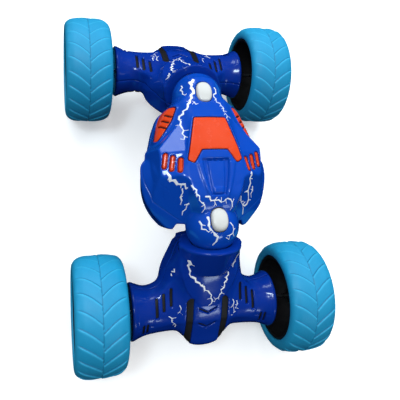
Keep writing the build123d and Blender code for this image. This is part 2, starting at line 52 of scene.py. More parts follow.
# -------- driving sizes, in metres, from the frame
TYRE_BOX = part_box("front_right_tyre")
WHEEL_R = (TYRE_BOX[1].z - TYRE_BOX[0].z) / 2
WHEEL_Y = -(TYRE_BOX[1].y + TYRE_BOX[0].y) / 2
WHEEL_X = (TYRE_BOX[1].x + TYRE_BOX[0].x) / 2
TYRE_HALF = (TYRE_BOX[1].x - TYRE_BOX[0].x) / 2
JOINTS = {joint["name"]: joint for joint in frame["joints"]}
ENDS = ("front", "rear")
SIDES = ("left", "right")


# -------- material helpers
def new_material(name):
    """A material with one shader in it: the material, its node tree and the shader."""
    material = bpy.data.materials.new(name)
    material.use_nodes = True
    tree = material.node_tree
    tree.nodes.clear()
    output = tree.nodes.new("ShaderNodeOutputMaterial")
    shader = tree.nodes.new("ShaderNodeBsdfPrincipled")
    tree.links.new(shader.outputs["BSDF"], output.inputs["Surface"])
    return material, tree, shader


def set_inputs(node, values):
    """Set a node's inputs by name."""
    for name, value in values.items():
        node.inputs[name].default_value = value


def noise(tree, scale, detail=4.0, roughness=0.55, distortion=0.0):
    """Cloudy noise in a piece's own space."""
    node = tree.nodes.new("ShaderNodeTexNoise")
    set_inputs(node, {"Scale": scale, "Detail": detail, "Roughness": roughness, "Distortion": distortion})
    place = tree.nodes.new("ShaderNodeTexCoord")
    tree.links.new(place.outputs["Object"], node.inputs["Vector"])
    return node.outputs["Fac"]


def ramp(tree, source, stops):
    """A colour for each level of the source."""
    node = tree.nodes.new("ShaderNodeValToRGB")
    while len(node.color_ramp.elements) < len(stops):
        node.color_ramp.elements.new(0.5)
    for element, (at, color) in zip(node.color_ramp.elements, stops):
        element.position = at
        element.color = (*color, 1.0)
    tree.links.new(source, node.inputs["Fac"])
    return node.outputs["Color"]


def ranged(tree, source, low, high, to_low, to_high):
    """One span of values mapped onto another."""
    node = tree.nodes.new("ShaderNodeMapRange")
    set_inputs(node, {"From Min": low, "From Max": high, "To Min": to_low, "To Max": to_high})
    tree.links.new(source, node.inputs["Value"])
    return node.outputs["Result"]


def bump(tree, shader, height, strength, distance):
    """Make a shader's surface uneven by a height."""
    node = tree.nodes.new("ShaderNodeBump")
    set_inputs(node, {"Strength": strength, "Distance": distance})
    tree.links.new(height, node.inputs["Height"])
    tree.links.new(node.outputs["Normal"], shader.inputs["Normal"])


def set_looks(tree, shader, color, grain, rough):
    """Give a shader its colour, and a roughness that follows a grain."""
    tree.links.new(color, shader.inputs["Base Color"])
    tree.links.new(ranged(tree, grain, 0.3, 0.7, *rough), shader.inputs["Roughness"])


def gloss_plastic(name, light, dark, rough=(0.14, 0.24), coat=0.35):
    """Moulded plastic: a slow tone drift, faint flow marks and fine handling haze."""
    material, tree, shader = new_material(name)
    tone = noise(tree, 22.0, 3.0)
    haze = noise(tree, 160.0, 6.0, 0.65)
    set_looks(tree, shader, ramp(tree, tone, [(0.30, dark), (0.70, light)]), haze, rough)
    set_inputs(shader, {"Coat Weight": coat, "Coat Roughness": 0.06, "IOR": 1.5})
    bump(tree, shader, noise(tree, 60.0, 3.0), 0.05, 0.0006)
    return material


def satin_plastic(name, light, dark, rough=(0.42, 0.58)):
    """Trim plastic with a fine even grain."""
    material, tree, shader = new_material(name)
    grain = noise(tree, 900.0, 5.0, 0.6)
    set_looks(tree, shader, ramp(tree, grain, [(0.25, dark), (0.75, light)]), grain, rough)
    bump(tree, shader, grain, 0.15, 0.0003)
    return material


def metal(name, tone, rough=(0.22, 0.38)):
    """Bare metal, with streaks in its tone and in its gloss."""
    material, tree, shader = new_material(name)
    streak = noise(tree, 300.0, 6.0, 0.7, 0.4)
    darker = tuple(c * 0.8 for c in tone)
    set_looks(tree, shader, ramp(tree, streak, [(0.3, darker), (0.7, tone)]), streak, rough)
    shader.inputs["Metallic"].default_value = 1.0
    bump(tree, shader, streak, 0.08, 0.0002)
    return material


def tyre_rubber(name, light, dark, edge_highlight_color, cut):
    """Soft moulded rubber, with painted shade along the cut between two blades and a painted highlight on each
    blade's edge.
    """
    material, tree, shader = new_material(name)
    mottling = noise(tree, 35.0, 5.0, 0.6)
    tone = ramp(tree, mottling, [(0.3, dark), (0.7, light)])
    # the first layer is a painted highlight on each blade's edge, the second is painted shade along the cuts and
    # the centre line
    for layer, color in (("painted_edge_highlight", edge_highlight_color), ("painted_groove_shade", cut)):
        share = tree.nodes.new("ShaderNodeAttribute")
        share.attribute_name = layer
        mix = tree.nodes.new("ShaderNodeMix")
        mix.data_type = "RGBA"
        tree.links.new(share.outputs["Fac"], mix.inputs["Factor"])
        tree.links.new(tone, mix.inputs["A"])
        mix.inputs["B"].default_value = (*color, 1.0)
        tone = mix.outputs["Result"]
    fine = noise(tree, 1400.0, 4.0, 0.6)
    set_looks(tree, shader, tone, fine, (0.42, 0.58))
    bump(tree, shader, fine, 0.12, 0.0002)
    return material


MATERIALS = {
    "blue_plastic": gloss_plastic("pod_blue", (0.0016, 0.058, 0.42), (0.0012, 0.050, 0.38)),
    "module_blue": gloss_plastic("module_blue", (0.0014, 0.028, 0.27), (0.0010, 0.023, 0.24)),
    "orange_plastic": gloss_plastic("panel_orange", (0.66, 0.050, 0.006), (0.61, 0.044, 0.005),
                                    rough=(0.2, 0.3), coat=0.3),
    "pearl_lens": gloss_plastic("lamp_pearl", (0.62, 0.62, 0.60), (0.50, 0.50, 0.48), (0.25, 0.35)),
    "print_white": gloss_plastic("print_white", (0.86, 0.88, 0.90), (0.62, 0.67, 0.74), (0.25, 0.40)),
    "black_plastic": satin_plastic("black_trim", (0.012, 0.012, 0.014), (0.006, 0.006, 0.007)),
    "rim_black": satin_plastic("rim_black", (0.011, 0.011, 0.012), (0.005, 0.005, 0.006)),
    "steel": metal("plated_steel", (0.62, 0.62, 0.63)),
    "motor_steel": metal("motor_can", (0.50, 0.50, 0.51)),
    "brass": metal("sintered_brass", (0.70, 0.50, 0.20)),
    "nylon": satin_plastic("natural_nylon", (0.80, 0.79, 0.74), (0.72, 0.71, 0.66)),
    "circuit_green": satin_plastic("solder_mask", (0.02, 0.20, 0.06), (0.015, 0.16, 0.05), (0.25, 0.4)),
    "battery_sleeve": gloss_plastic("shrink_sleeve", (0.03, 0.10, 0.45), (0.025, 0.08, 0.40)),
    # the tyre's third colour is a painted highlight on the blade edges, its fourth is painted shade in the cuts
    "tyre_cyan": tyre_rubber("tyre_cyan", light=(0.007, 0.295, 0.54), dark=(0.004, 0.250, 0.47),
                             edge_highlight_color=(0.040, 0.480, 0.74), cut=(0.002, 0.050, 0.13)),
}


def finish_cad_nodes():
    """Every CAD node takes its slot's material; the pieces made below replace the ones that show."""
    for entry in frame["record"]["subparts"]:
        node = frame["nodes"][entry["node"]]
        node.data.materials.clear()
        node.data.materials.append(MATERIALS[entry["material_slot"]])


def add_object(name, data):
    """A new object in the scene."""
    added = bpy.data.objects.new(name, data)
    bpy.context.scene.collection.objects.link(added)
    return added


def piece_of(name, mesh, material, body, replaced=(), place=None):
    """Put a mesh in the scene as one piece that rides a body and stands for the CAD nodes it replaces."""
    piece = add_object(name, mesh)
    if place is not None:
        piece.matrix_world = place
    if not mesh.materials:
        mesh.materials.append(MATERIALS[material])
    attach(piece, body)
    if replaced:
        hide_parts(*replaced)
    return piece


def mesh_of_quads(name, points, quads):
    """A smooth mesh of four-cornered faces, from points in metres."""
    mesh = bpy.data.meshes.new(name)
    mesh.vertices.add(len(points))
    mesh.vertices.foreach_set("co", np.asarray(points, np.float32).ravel())
    mesh.loops.add(len(quads) * 4)
    mesh.loops.foreach_set("vertex_index", np.ascontiguousarray(quads, np.int32).ravel())
    mesh.polygons.add(len(quads))
    mesh.polygons.foreach_set("loop_start", np.arange(0, len(quads) * 4, 4, dtype=np.int32))
    mesh.polygons.foreach_set("use_smooth", [True] * len(quads))
    mesh.update(calc_edges=True)
    mesh.validate()
    return mesh


# -------- tyres
BLADES = 22
BLADE_STEPS = 32  # points round the tyre for each blade
BLADE_HEIGHT = 1.3 * MM
BLADE_SWEEP = 0.95  # how far a blade leans back from the shoulder to the centre, in blades
BLADE_CURL = 1.6  # above 1, most of the lean is near the centre
BLADE_FALL = 0.07  # share of a blade's pitch taken by its steep edge
BLADE_SWELL = 0.75  # below 1, the long side of a blade bulges
BLADE_STAGGER = 0.25  # each half is shifted by this much of a blade, opposite ways
BLADE_END = 0.97  # share of the half-width at which the blades have faded out
BLADE_FADE = 0.20
CENTRE_CUT = 0.55 * MM  # half-width of the line where the two halves meet
CENTRE_DEPTH = 0.5 * MM
HIGHLIGHT_FROM, HIGHLIGHT_FULL, HIGHLIGHT_TO = 0.78, 0.92, 0.95  # where along a blade its painted edge highlight lies
# how strong the painted edge highlight is at most
HIGHLIGHT_MOST = 0.45
FOOT_WIDTH = 0.055  # share of a blade's pitch with painted shade on each side of a cut
# how strong the painted shade is beside each cut and along the centre line
FOOT_SHADE = 0.75
CENTRE_SHADE = 0.45
TYRE_BEAD_R = 38.0 * MM
LINING_CHAMFER = 0.8 * MM  # from the bead to where the lining starts
LINING_FLAT = 3.5 * MM  # from the bead to where the lining is level
LINING_RISE = 0.2 * MM
SECTION_POINTS = 50
SECTION_STRETCH = 2.2  # what a share of the radius counts for in spacing the points
TYRE_SECTION = [(0.0, 1.0), (0.25, 0.9985), (0.50, 0.992), (0.68, 0.978), (0.82, 0.950), (0.93, 0.905),
                (0.985, 0.860), (1.0, 0.820), (0.985, 0.785), (0.95, 0.765)]


def smooth_interp(at, knots, values):
    """A Catmull-Rom curve through the values."""
    slopes = np.gradient(values, knots)
    i = np.clip(np.searchsorted(knots, at, side="right") - 1, 0, len(knots) - 2)
    h = knots[i + 1] - knots[i]
    s = (at - knots[i]) / h
    h00 = 2 * s**3 - 3 * s**2 + 1
    h10 = s**3 - 2 * s**2 + s
    h01 = -2 * s**3 + 3 * s**2
    h11 = s**3 - s**2
    return h00 * values[i] + h10 * h * slopes[i] + h01 * values[i + 1] + h11 * h * slopes[i + 1]


def ease(share):
    """From nothing to one with level ends."""
    share = np.clip(share, 0, 1)
    return share * share * (3 - 2 * share)


def tyre_section():
    """Half of the plain carcass from the crown's middle out to the bead: places across and radii."""
    knots = np.array(TYRE_SECTION)
    steps = np.hypot(np.diff(knots[:, 0]), np.diff(knots[:, 1]) * SECTION_STRETCH)
    along = np.concatenate([[0], np.cumsum(steps)])
    fine = np.linspace(0, along[-1], SECTION_POINTS)
    x = smooth_interp(fine, along, knots[:, 0]) * TYRE_HALF
    r = smooth_interp(fine, along, knots[:, 1]) * WHEEL_R
    return np.minimum(x, TYRE_HALF * 0.999), r


def tyre_tread(x, angle):
    """Height of the tread over the carcass, and how much painted highlight and how much painted shade each point
    gets.
    """
    across = np.clip(np.abs(x) / TYRE_HALF, 0, 1)
    lean = BLADE_SWEEP * (1 - across) ** BLADE_CURL
    fade = ease((BLADE_END - across) / BLADE_FADE)[None, :]
    turns = angle[:, None] / (2 * math.pi)
    phase = turns * BLADES + lean[None, :] + BLADE_STAGGER * np.sign(x)[None, :]
    saw = phase - np.floor(phase)
    rise = np.clip(saw / (1 - BLADE_FALL), 0, 1) ** BLADE_SWELL
    fall = np.clip((1 - saw) / BLADE_FALL, 0, 1)
    blade = np.minimum(rise, fall)
    centre = np.clip(1 - np.abs(x) / CENTRE_CUT, 0, 1)[None, :]
    height = BLADE_HEIGHT * (blade - 1.0) * fade - CENTRE_DEPTH * centre
    # painted shade on each side of the cut between two blades
    foot = np.clip(1 - np.minimum(saw, 1 - saw) / FOOT_WIDTH, 0, 1)
    # painted highlight along each blade's raised edge
    painted_edge_highlight = np.clip((saw - HIGHLIGHT_FROM) / (HIGHLIGHT_FULL - HIGHLIGHT_FROM), 0, 1) * (saw < HIGHLIGHT_TO) * fade * HIGHLIGHT_MOST
    painted_groove_shade = np.maximum(foot * fade * FOOT_SHADE, centre * CENTRE_SHADE)
    return height, painted_edge_highlight, painted_groove_shade


def build_tyres():
    """One tyre about X, its swept blades staggered from half to half, used for all four wheels."""
    x_half, r_half = tyre_section()
    x = np.concatenate([-x_half[:0:-1], x_half])
    r = np.concatenate([r_half[:0:-1], r_half])
    angle = np.linspace(0, 2 * math.pi, BLADES * BLADE_STEPS, endpoint=False)
    height, painted_edge_highlight, painted_groove_shade = tyre_tread(x, angle)
    bead = x[-1]
    chamfer = bead - LINING_CHAMFER
    flat = bead - LINING_FLAT
    lining_x = np.array([chamfer, flat, -flat, -chamfer])
    lining_r = TYRE_BEAD_R + np.array([LINING_RISE, 0, 0, LINING_RISE])
    around, across = len(angle), len(x) + len(lining_x)
    lining = np.broadcast_to(lining_r, (around, len(lining_r)))
    radius = np.concatenate([r[None, :] + height, lining], axis=1)
    place_x = np.broadcast_to(np.concatenate([x, lining_x]), radius.shape)
    points = np.stack([place_x, radius * np.sin(angle)[:, None], radius * np.cos(angle)[:, None]], axis=-1)
    i = np.arange(around)[:, None] * across
    i_next = np.roll(i, -1, axis=0)
    j = np.arange(across)[None, :]
    j_next = np.roll(j, -1, axis=1)
    quads = np.stack([i + j, i_next + j, i_next + j_next, i + j_next], axis=-1).reshape(-1, 4)
    mesh = mesh_of_quads("tyre", points.reshape(-1, 3), quads)
    # the painted highlight and the painted shade ride on the tyre's points for its material
    for layer, values in (("painted_edge_highlight", painted_edge_highlight), ("painted_groove_shade", painted_groove_shade)):
        full = np.zeros((around, across), np.float32)
        full[:, :len(x)] = values
        mesh.attributes.new(layer, "FLOAT", "POINT").data.foreach_set("value", full.ravel())
    for name, place in wheel_places():
        piece_of(f"{name}_tread_tyre", mesh, "tyre_cyan", f"{name}_wheel", (f"{name}_tyre",), place)


def wheel_places():
    """The name and the centre of each wheel."""
    for end in ENDS:
        for side in SIDES:
            x = WHEEL_X if side == "right" else -WHEEL_X
            y = -WHEEL_Y if end == "front" else WHEEL_Y
            yield f"{end}_{side}", Matrix.Translation((x, y, WHEEL_R))


# -------- distance fields, in millimetres
FAR = 9.0  # stands for a distance that is nowhere near


def grid(low, high, step):
    """Sparse coordinate arrays of a box of cells, and the cells: the box's corner and their size."""
    axes = [np.arange(a, b + step, step, dtype=np.float32) for a, b in zip(low, high)]
    return np.meshgrid(*axes, indexing="ij", sparse=True), (low, step)


def smooth_max(a, b, k):
    """What lies in both of two fields, rounded over a width k where they cross."""
    h = np.clip(0.5 - 0.5 * (b - a) / k, 0, 1)
    return b * (1 - h) + a * h + k * h * (1 - h)


def smooth_min(a, b, k):
    """What lies in either of two fields, filleted over a width k where they meet."""
    return -smooth_max(-a, -b, k)


def curve_of(pairs):
    """A smooth function through (place, value) pairs, given in rising order."""
    knots = np.array([p for p, _ in pairs], float)
    values = np.array([v for _, v in pairs], float)

    def at(place):
        inside = np.clip(place, knots[0], knots[-1])
        return smooth_interp(inside.ravel(), knots, values).reshape(inside.shape).astype(np.float32)
    return at


def polygon_distance(points, x, y):
    """Signed distance in plan to a closed polygon: negative inside."""
    corners = np.array(points, float)
    best = None
    inside = None
    for (x0, y0), (x1, y1) in zip(corners, np.roll(corners, -1, axis=0)):
        ex, ey = x1 - x0, y1 - y0
        t = np.clip(((x - x0) * ex + (y - y0) * ey) / (ex * ex + ey * ey), 0, 1)
        d = (x - x0 - t * ex) ** 2 + (y - y0 - t * ey) ** 2
        best = d if best is None else np.minimum(best, d)
        crosses = ((y0 > y) != (y1 > y)) & (x < ex * (y - y0) / (ey if ey else 1e-9) + x0)
        inside = crosses if inside is None else inside ^ crosses
    return np.where(inside, -np.sqrt(best), np.sqrt(best)).astype(np.float32)


def slot_distance(x, y, x0, y0, x1, y1, radius):
    """Signed distance in plan to a round-ended slot from one end to the other."""
    ex, ey = x1 - x0, y1 - y0
    t = np.clip(((x - x0) * ex + (y - y0) * ey) / (ex * ex + ey * ey), 0, 1)
    return np.hypot(x - x0 - t * ex, y - y0 - t * ey) - radius


def step_in(distance, ramp_width):
    """One inside an outline, falling to nothing over the ramp at its edge."""
    return ease(-distance / ramp_width)


def between(values, low, high):
    """Distance to a span of values: negative within it."""
    return np.maximum(values - high, low - values)


def layer(plan, skin, depths):
    """What lies between two depths under a skin, inside a plan outline."""
    outer, inner = depths
    return np.maximum(np.maximum(plan, skin + outer), -(skin + inner))


def field_surface(field, cells):
    """The zero surface of a field: its points and four-cornered faces, closed at the grid's edges."""
    corner, step = cells
    padded = np.pad(np.ascontiguousarray(field, np.float32), 1, constant_values=step * 2)
    level = openvdb.FloatGrid(step * 2)
    level.copyFromArray(np.clip(padded, -step * 2.5, step * 2.5), tolerance=0)
    points, quads = level.convertToQuads(0.0)
    return (points - 1) * step + np.array(corner), quads[:, ::-1]


def field_mesh(name, field, cells):
    """A field's surface as a mesh in metres."""
    points, quads = field_surface(field, cells)
    return mesh_of_quads(name, points * MM, quads)


def field_piece(name, field, cells, material, body, replaced=()):
    """A field's surface as a piece of the scene, where the field stands."""
    return piece_of(name, field_mesh(name, field, cells), material, body, replaced)


# -------- printed lightning
PRINT_STEP = 0.32
PRINT_PROUD = 0.13  # how far a print stands above the skin
PRINT_DEPTH = 0.9
PRINT_CLEAR = 0.7  # from a print to an opening
PRINT_STEEPEST = 2.2  # skin that rises faster than this isn't printed
PRINT_LIFT_MOST = 2.5  # most times as proud that a print stands on a slope
PRINT_SEED = 7
ZIGZAG = 2.6  # length of one stroke of a bolt
ZIGZAG_SWING = (0.5, 1.15)
BOLT_TAPER = 0.55  # share of its width that a bolt has lost at its end
STROKE_WIDTHS = (0.8, 1.5)
SPUR_CHANCE = 0.45
SPUR_SIDEWAYS = (1.2, 3.4)
SPUR_ONWARD = (-1, 2)
SPUR_HALF = 0.32


def jagged(points, width, rng):
    """Strokes (two ends and a half-width) that zigzag along a line and taper to its end, with spurs."""
    strokes = []
    knots = [np.array(p, float) for p in points]
    total = sum(np.linalg.norm(b - a) for a, b in zip(knots, knots[1:]))
    last = knots[0]
    run = 0.0
    for a, b in zip(knots, knots[1:]):
        reach = np.linalg.norm(b - a)
        across = np.array([a[1] - b[1], b[0] - a[0]]) / reach
        pieces = max(2, round(reach / ZIGZAG))
        for k in range(1, pieces + 1):
            swing = rng.uniform(*ZIGZAG_SWING) * (1 if k % 2 else -1) * (k < pieces)
            here = a + (b - a) * k / pieces + across * swing
            taper = 1 - BOLT_TAPER * (run + reach * k / pieces) / total
            strokes.append((*last, *here, width * taper * rng.uniform(*STROKE_WIDTHS)))
            if rng.random() < SPUR_CHANCE:
                sideways = across * rng.uniform(*SPUR_SIDEWAYS) * rng.choice([-1, 1])
                onward = (b - a) / reach * rng.uniform(*SPUR_ONWARD)
                strokes.append((*here, *(here + sideways + onward), SPUR_HALF))
            last = here
        run += reach
    return strokes


def bolt_distance(bolts, x, y):
    """Plan distance to every stroke of a set of bolts: negative on the print."""
    rng = np.random.default_rng(PRINT_SEED)
    best = np.full(np.broadcast(x, y).shape, FAR, np.float32)
    for width, points in bolts:
        for x0, y0, x1, y1, half in jagged(points, width, rng):
            best = np.minimum(best, slot_distance(x, y, x0, y0, x1, y1, half))
    return best


def skin_height(solid, levels):
    """Height of the topmost surface over each plan cell of a field."""
    inside = solid < 0
    count = solid.shape[2]
    k = np.clip(count - 1 - np.argmax(inside[:, :, ::-1], axis=2), 0, count - 2)
    below = np.take_along_axis(solid, k[:, :, None], axis=2)[:, :, 0]
    above = np.take_along_axis(solid, k[:, :, None] + 1, axis=2)[:, :, 0]
    share = np.clip(-below / np.maximum(above - below, 1e-6), 0, 1)
    height = levels[k] + share * (levels[1] - levels[0])
    return np.where(inside.any(axis=2), height, levels[0])


def sampled(values, cells, x, y):
    """Values on a plan grid read at any place."""
    corner, step = cells
    u = np.clip((x - corner[0]) / step, 0, values.shape[0] - 1.001)
    v = np.clip((y - corner[1]) / step, 0, values.shape[1] - 1.001)
    i, j = u.astype(int), v.astype(int)
    s, t = u - i, v - j
    low = values[i, j] * (1 - s) + values[i + 1, j] * s
    high = values[i, j + 1] * (1 - s) + values[i + 1, j + 1] * s
    return low * (1 - t) + high * t


def print_mesh(name, bolts, keep_off, solid, levels, cells):
    """Bolts on a field's upper skin, as a thin closed layer. keep_off is a plan distance to openings."""
    corner, step = cells
    height = skin_height(solid, levels)
    slope = np.hypot(*np.gradient(height, step))
    far = [start + step * (count - 1) for start, count in zip(corner, height.shape)]
    (x, y, h), fine = grid((*corner[:2], -PRINT_DEPTH), (*far, PRINT_PROUD), PRINT_STEP)
    plan = np.maximum(bolt_distance(bolts, x, y), PRINT_CLEAR - sampled(keep_off, cells, x, y))
    plan = np.maximum(plan, sampled(slope, cells, x, y) - PRINT_STEEPEST)
    slab = np.abs(h + PRINT_DEPTH / 2) - PRINT_DEPTH / 2
    points, quads = field_surface(np.maximum(plan, slab), fine)
    place = (cells, points[:, 0], points[:, 1])
    lift = np.minimum(np.hypot(1, sampled(slope, *place)), PRINT_LIFT_MOST)
    points[:, 2] = sampled(height, *place) + PRINT_PROUD * lift + points[:, 2]
    return mesh_of_quads(name, points * MM, quads)


# -------- the pod
POD_STEP = 0.65
POD_LOW = (-60, -82, 76)
POD_HIGH = (60, 82, 149)
TWIST = {end: JOINTS[f"{end}_twist"] for end in ENDS}
LOBE_Y = abs(TWIST["front"]["pos_m"][1]) / MM
LOBE_Z = TWIST["front"]["pos_m"][2] / MM
LOBE_R = 22.0
SHELL_WALL = 2.0
PANEL_BACKING = 3.2  # how much thicker the shell is behind the sunk centre panel
POD_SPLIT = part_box("upper_shell")[0].z / MM
POD_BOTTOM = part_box("lower_shell")[0].z / MM
DOOR_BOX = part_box("battery_door")
SWITCH_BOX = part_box("switch_knob")
SCREW_HEAD_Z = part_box("body_screws")[0].z / MM
POD_SCREWS = ((41, -27), (37, 21))
SCREW_WELL_R = 2.95
POD_BOSS_WALL = 1.2
BOSS_INSET = 0.5  # how far the bosses stay under the skin
SPLIT_HALF = 0.12  # half the gap where two halves of a shell meet
BAY_GAP = 0.25
BAY_DEPTH = 6
SWITCH_SLOT = (4.9, 1.7)  # half-sizes across and along
WELL_FLOOR = 2.0  # from a screw's head to the end of its well
CUP_CLEAR = 1.2  # the pod ends this far short of the plane through a lobe's centre
CUP_R = 27.5  # beyond this, past the module's cup, it may reach further
CUP_BLEND = 3.5
CUP_PAST = 5.0
TWIST_AXIS = [abs(c) for c in TWIST["front"]["axis"]]

SPINE_TOP = [(-52, 132.5), (-46, 136.0), (-40, 139.6), (-30, 141.6), (-12, 143.2), (-2, 143.8), (12, 142.4),
             (27, 140.0), (36, 137.0), (45, 133.5), (56, 129.0)]
SHOULDER_Z = 117
SHOULDER = [(-56, 19), (-50, 25), (-44, 33), (-36, 39), (-28, 43), (-15, 47.5), (-4, 47.5), (3, 45.5),
            (14, 43.0), (30, 38), (41, 32.5), (48, 24), (54, 16), (58, 11)]
FLARE = [(-8, 0.85), (-3, 0.85), (5, 0.30), (10, 0.30)]
BELT_Z = 107
BELT = [(-60, 28), (-55, 36), (-49, 42), (-43, 47), (-36, 51), (-22, 54.8), (-14, 55), (-4, 53.5),
        (3, 50), (8, 48.5), (18, 46), (31, 42), (42, 36.5), (50, 29), (57, 22)]
NOSE_Z = 138
NOSE_HALF = [(-56, 8.5), (-50, 11.5), (-44, 15.5), (-36, 20.0), (-28, 23.0), (-15, 24.0), (-4, 23.5),
             (4, 22.0), (22, 17.0), (50, 6.0)]
ROOF_CROWN = 0.0035
# Flat faces, each with its outward slope and a point on it.
CABIN_SIDE = ((0.80, 0.24, 1.0), (16, 26, 138.5))
FENDER = ((0.491, -0.631, 0.600), (25, -31, 133.0))
NOSE_END = ((0.05, -0.80, 0.60), (0, -51.5, 131.0))
FLANK_SEAM = ((0.47, -0.60, -0.10), (41, -26.5, 127))
INTAKE_TOP = ((0.34, -0.197, 1.0), (43, 0, 134))
INTAKE_SIDES = [  # each with the width that rounds its edge
    ((0.214, 0.148, 0.646), (43, 2, 132.4), 0.7),
    ((0.955, -0.062, 0.286), (43.6, -2, 131), 1.0),
    ((0.778, 0.629, 0.35), (43.2, 2.5, 132), 0.8)]
INTAKE_INNER = 15
BOTTOM_ROUND = 5.0

# The sunk centre panel: half-widths of the well and of the panel in it, and widths of the rails, along Y.
WELL_OUTER = [(-40, 6.0), (-27, 9.0), (-10, 11.5)]
WELL_INNER = [(-40, 4.6), (-27, 6.0), (-10, 7.4)]
RAIL_WIDTH = [(-40, 3.0), (-27, 4.4), (-12, 5.6)]
WELL_SPAN = (-39.5, -9.6)
PANEL_SPAN = (-38.0, -11.6)
RAIL_SPAN = (-42, -12.5)
TAB_SPAN = (-38.4, -33.0)
TAB_HALF = 4.2
DASH_Y = -10.9
DASH_PITCH = 4.9
DASH_HALF = (1.9, 0.55)
BORDER_WIDTH = 1.7
SEAM_HALF = 0.25

HOOD = [(-12.0, 24.8), (12.0, 24.8), (20.4, -9.5), (18.2, -10.9), (11.6, -0.6), (-11.6, -0.6),
        (-18.2, -10.9), (-20.4, -9.5)]
HOOD_ROUND = 1.9
SIDE_WINDOW = [(26.2, 39.6), (32.4, 41.6), (37.2, 32.4), (41.7, 14.3), (36.4, 20.9), (30.3, 29.7)]
WINDOW_ROUND = 1.6
WINDOW_SLITS = ((30.8, 34.0), (33.4, 29.4), (36.2, 24.8))
SLIT_REACH = (2.0, 1.5)  # from a slit's middle to its end
SLIT_R = 0.75
SLIT_OVERLAP = 0.6  # how much wider the black behind a slit is
VENTS = [(28.0, -13.4), (33.8, -11.0), (39.2, -8.3)]
VENT_HALF = 4.5
VENT_LEAN = 0.7
VENT_R = 2.1
VENT_INSET = 0.85
BACKING_OVERLAP = 1.5
PANEL_GAP = 0.35  # between a panel and the shell round it
PANEL_INSET = 0.2
# Depths of the front and back of each panel under the skin.
HOOD_DEPTHS = (0.05, 1.8)
PANE_DEPTHS = (0.1, 1.9)
SLIT_DEPTHS = (1.2, 2.6)
BAR_DEPTHS = (0.25, 2.4)
BACKING_DEPTHS = (2.1, 3.6)
LAMP_Y = {"front": -57.3, "rear": 52.5}
LAMP_RX = 7.0
LAMP_RY = 9.4
LAMP_SQUARE = 2.5  # 2 is an ellipse, and more is squarer
LAMP_PROUD = 2.7  # of the lobe
LAMP_RISE = 1.4  # most above the skin
LAMP_ROUND = 2.4
LAMP_BACK = 2.0
LAMP_LOWEST = 6
POD_BOLTS = [
    (0.95, [(-8, 64), (-11, 62), (-9, 54), (-13, 45), (-16, 38), (-24, 28), (-23, 19), (-23, 8)]),
    (0.45, [(-12, 44), (-7, 39)]),
    (0.50, [(-17, 62), (-18, 58), (-16, 51)]),
    (0.50, [(10, 57), (11, 54), (8, 48), (13, 39), (15, 31), (16, 24)]),
    (0.80, [(-38, -18), (-36, -24), (-28, -28), (-20, -33), (-14, -44), (-11, -48)]),
    (0.65, [(-27, -31), (-27, -41)]),
    (0.65, [(-18, -39), (-25, -46)]),
    (0.60, [(-11, -40), (-4, -43), (-4, -47)]),
    (0.60, [(7, -42), (11, -45), (10, -50)]),
    (0.55, [(-3, -43), (4, -44), (7, -42)]),
    (0.75, [(30, -20), (30, -31), (28, -34), (31, -36), (31, -42), (26, -43), (28, -49)]),
    (0.50, [(34, -30), (35, -37)]),
    (0.50, [(20, -37), (26, -43)]),
    (1.05, [(-9, -55), (-8, -64), (-2, -70), (-5, -75)]),
    (0.60, [(-15, -57), (-14, -63), (-9, -66)]),
    (0.50, [(9, -60), (12, -65), (8, -72)])]


def facet(ax, y, z, slope, through):
    """Signed distance to a plane given by its outward slope and a point, alike on both sides."""
    length = math.sqrt(sum(s * s for s in slope))
    return sum(s / length * (c - p) for s, c, p in zip(slope, (ax, y, z), through))


def pod_hull(x, y, z):
    """The pod without its lobes: a cabin, two intake blocks with vents, and the nose between them.

    The factors just below 1 turn a difference measured level across a leaning face into a distance.
    """
    ax = np.abs(x)
    roof = z - curve_of(SPINE_TOP)(y) + ROOF_CROWN * ax * ax
    cabin_side = facet(ax, y, z, *CABIN_SIDE)
    flank_lean = np.where(z > SHOULDER_Z, 0.34, curve_of(FLARE)(y))
    flank = (ax - curve_of(SHOULDER)(y) + (z - SHOULDER_Z) * flank_lean) * 0.85
    belt_lean = np.where(z > BELT_Z, 0.85, 0.15)
    belt = (ax - curve_of(BELT)(y) - (z - BELT_Z) * belt_lean) * np.where(z > BELT_Z, 0.76, 0.98)
    fender = facet(ax, y, z, *FENDER)
    flank_round = 1.6 + 5.0 * ease((y - 38) / 14)
    body = smooth_max(smooth_max(roof, cabin_side, 2.0), flank, flank_round)
    intake = facet(ax, y, z, *INTAKE_TOP)
    for slope, through, rounding in INTAKE_SIDES:
        intake = smooth_max(intake, facet(ax, y, z, slope, through), rounding)
    intake = smooth_max(intake, INTAKE_INNER - ax, 1.0)
    nose_side = (ax - curve_of(NOSE_HALF)(y) + (z - NOSE_Z) * 0.30) * 0.95
    nose = smooth_max(roof, nose_side, 1.6)
    nose = smooth_max(nose, facet(ax, y, z, *NOSE_END), 2.5)
    hull = smooth_min(body, smooth_max(intake, fender, 1.0), 0.8)
    hull = smooth_max(hull, fender, 1.0)
    hull = smooth_min(hull, nose, 0.8)
    hull = smooth_max(hull, belt, 1.6)
    return smooth_max(hull, POD_BOTTOM - z, BOTTOM_ROUND)


def pod_field(x, y, z):
    """The whole pod: the hull, cut back where a module's cup turns, and a ball lobe at each end."""
    hull = pod_hull(x, y, z)
    ay = np.abs(y)
    reach = (ay - LOBE_Y) * TWIST_AXIS[1] - (z - LOBE_Z) * TWIST_AXIS[2] + CUP_CLEAR
    reach = reach - CUP_PAST * ease((np.abs(x) - CUP_R) / CUP_BLEND)
    hull = smooth_max(hull, reach, 1.5)
    ball = np.sqrt(x * x + (ay - LOBE_Y) ** 2 + (z - LOBE_Z) ** 2) - LOBE_R
    return np.where(y > 0, smooth_min(hull, ball, 8.0), smooth_min(hull, ball, 0.8))


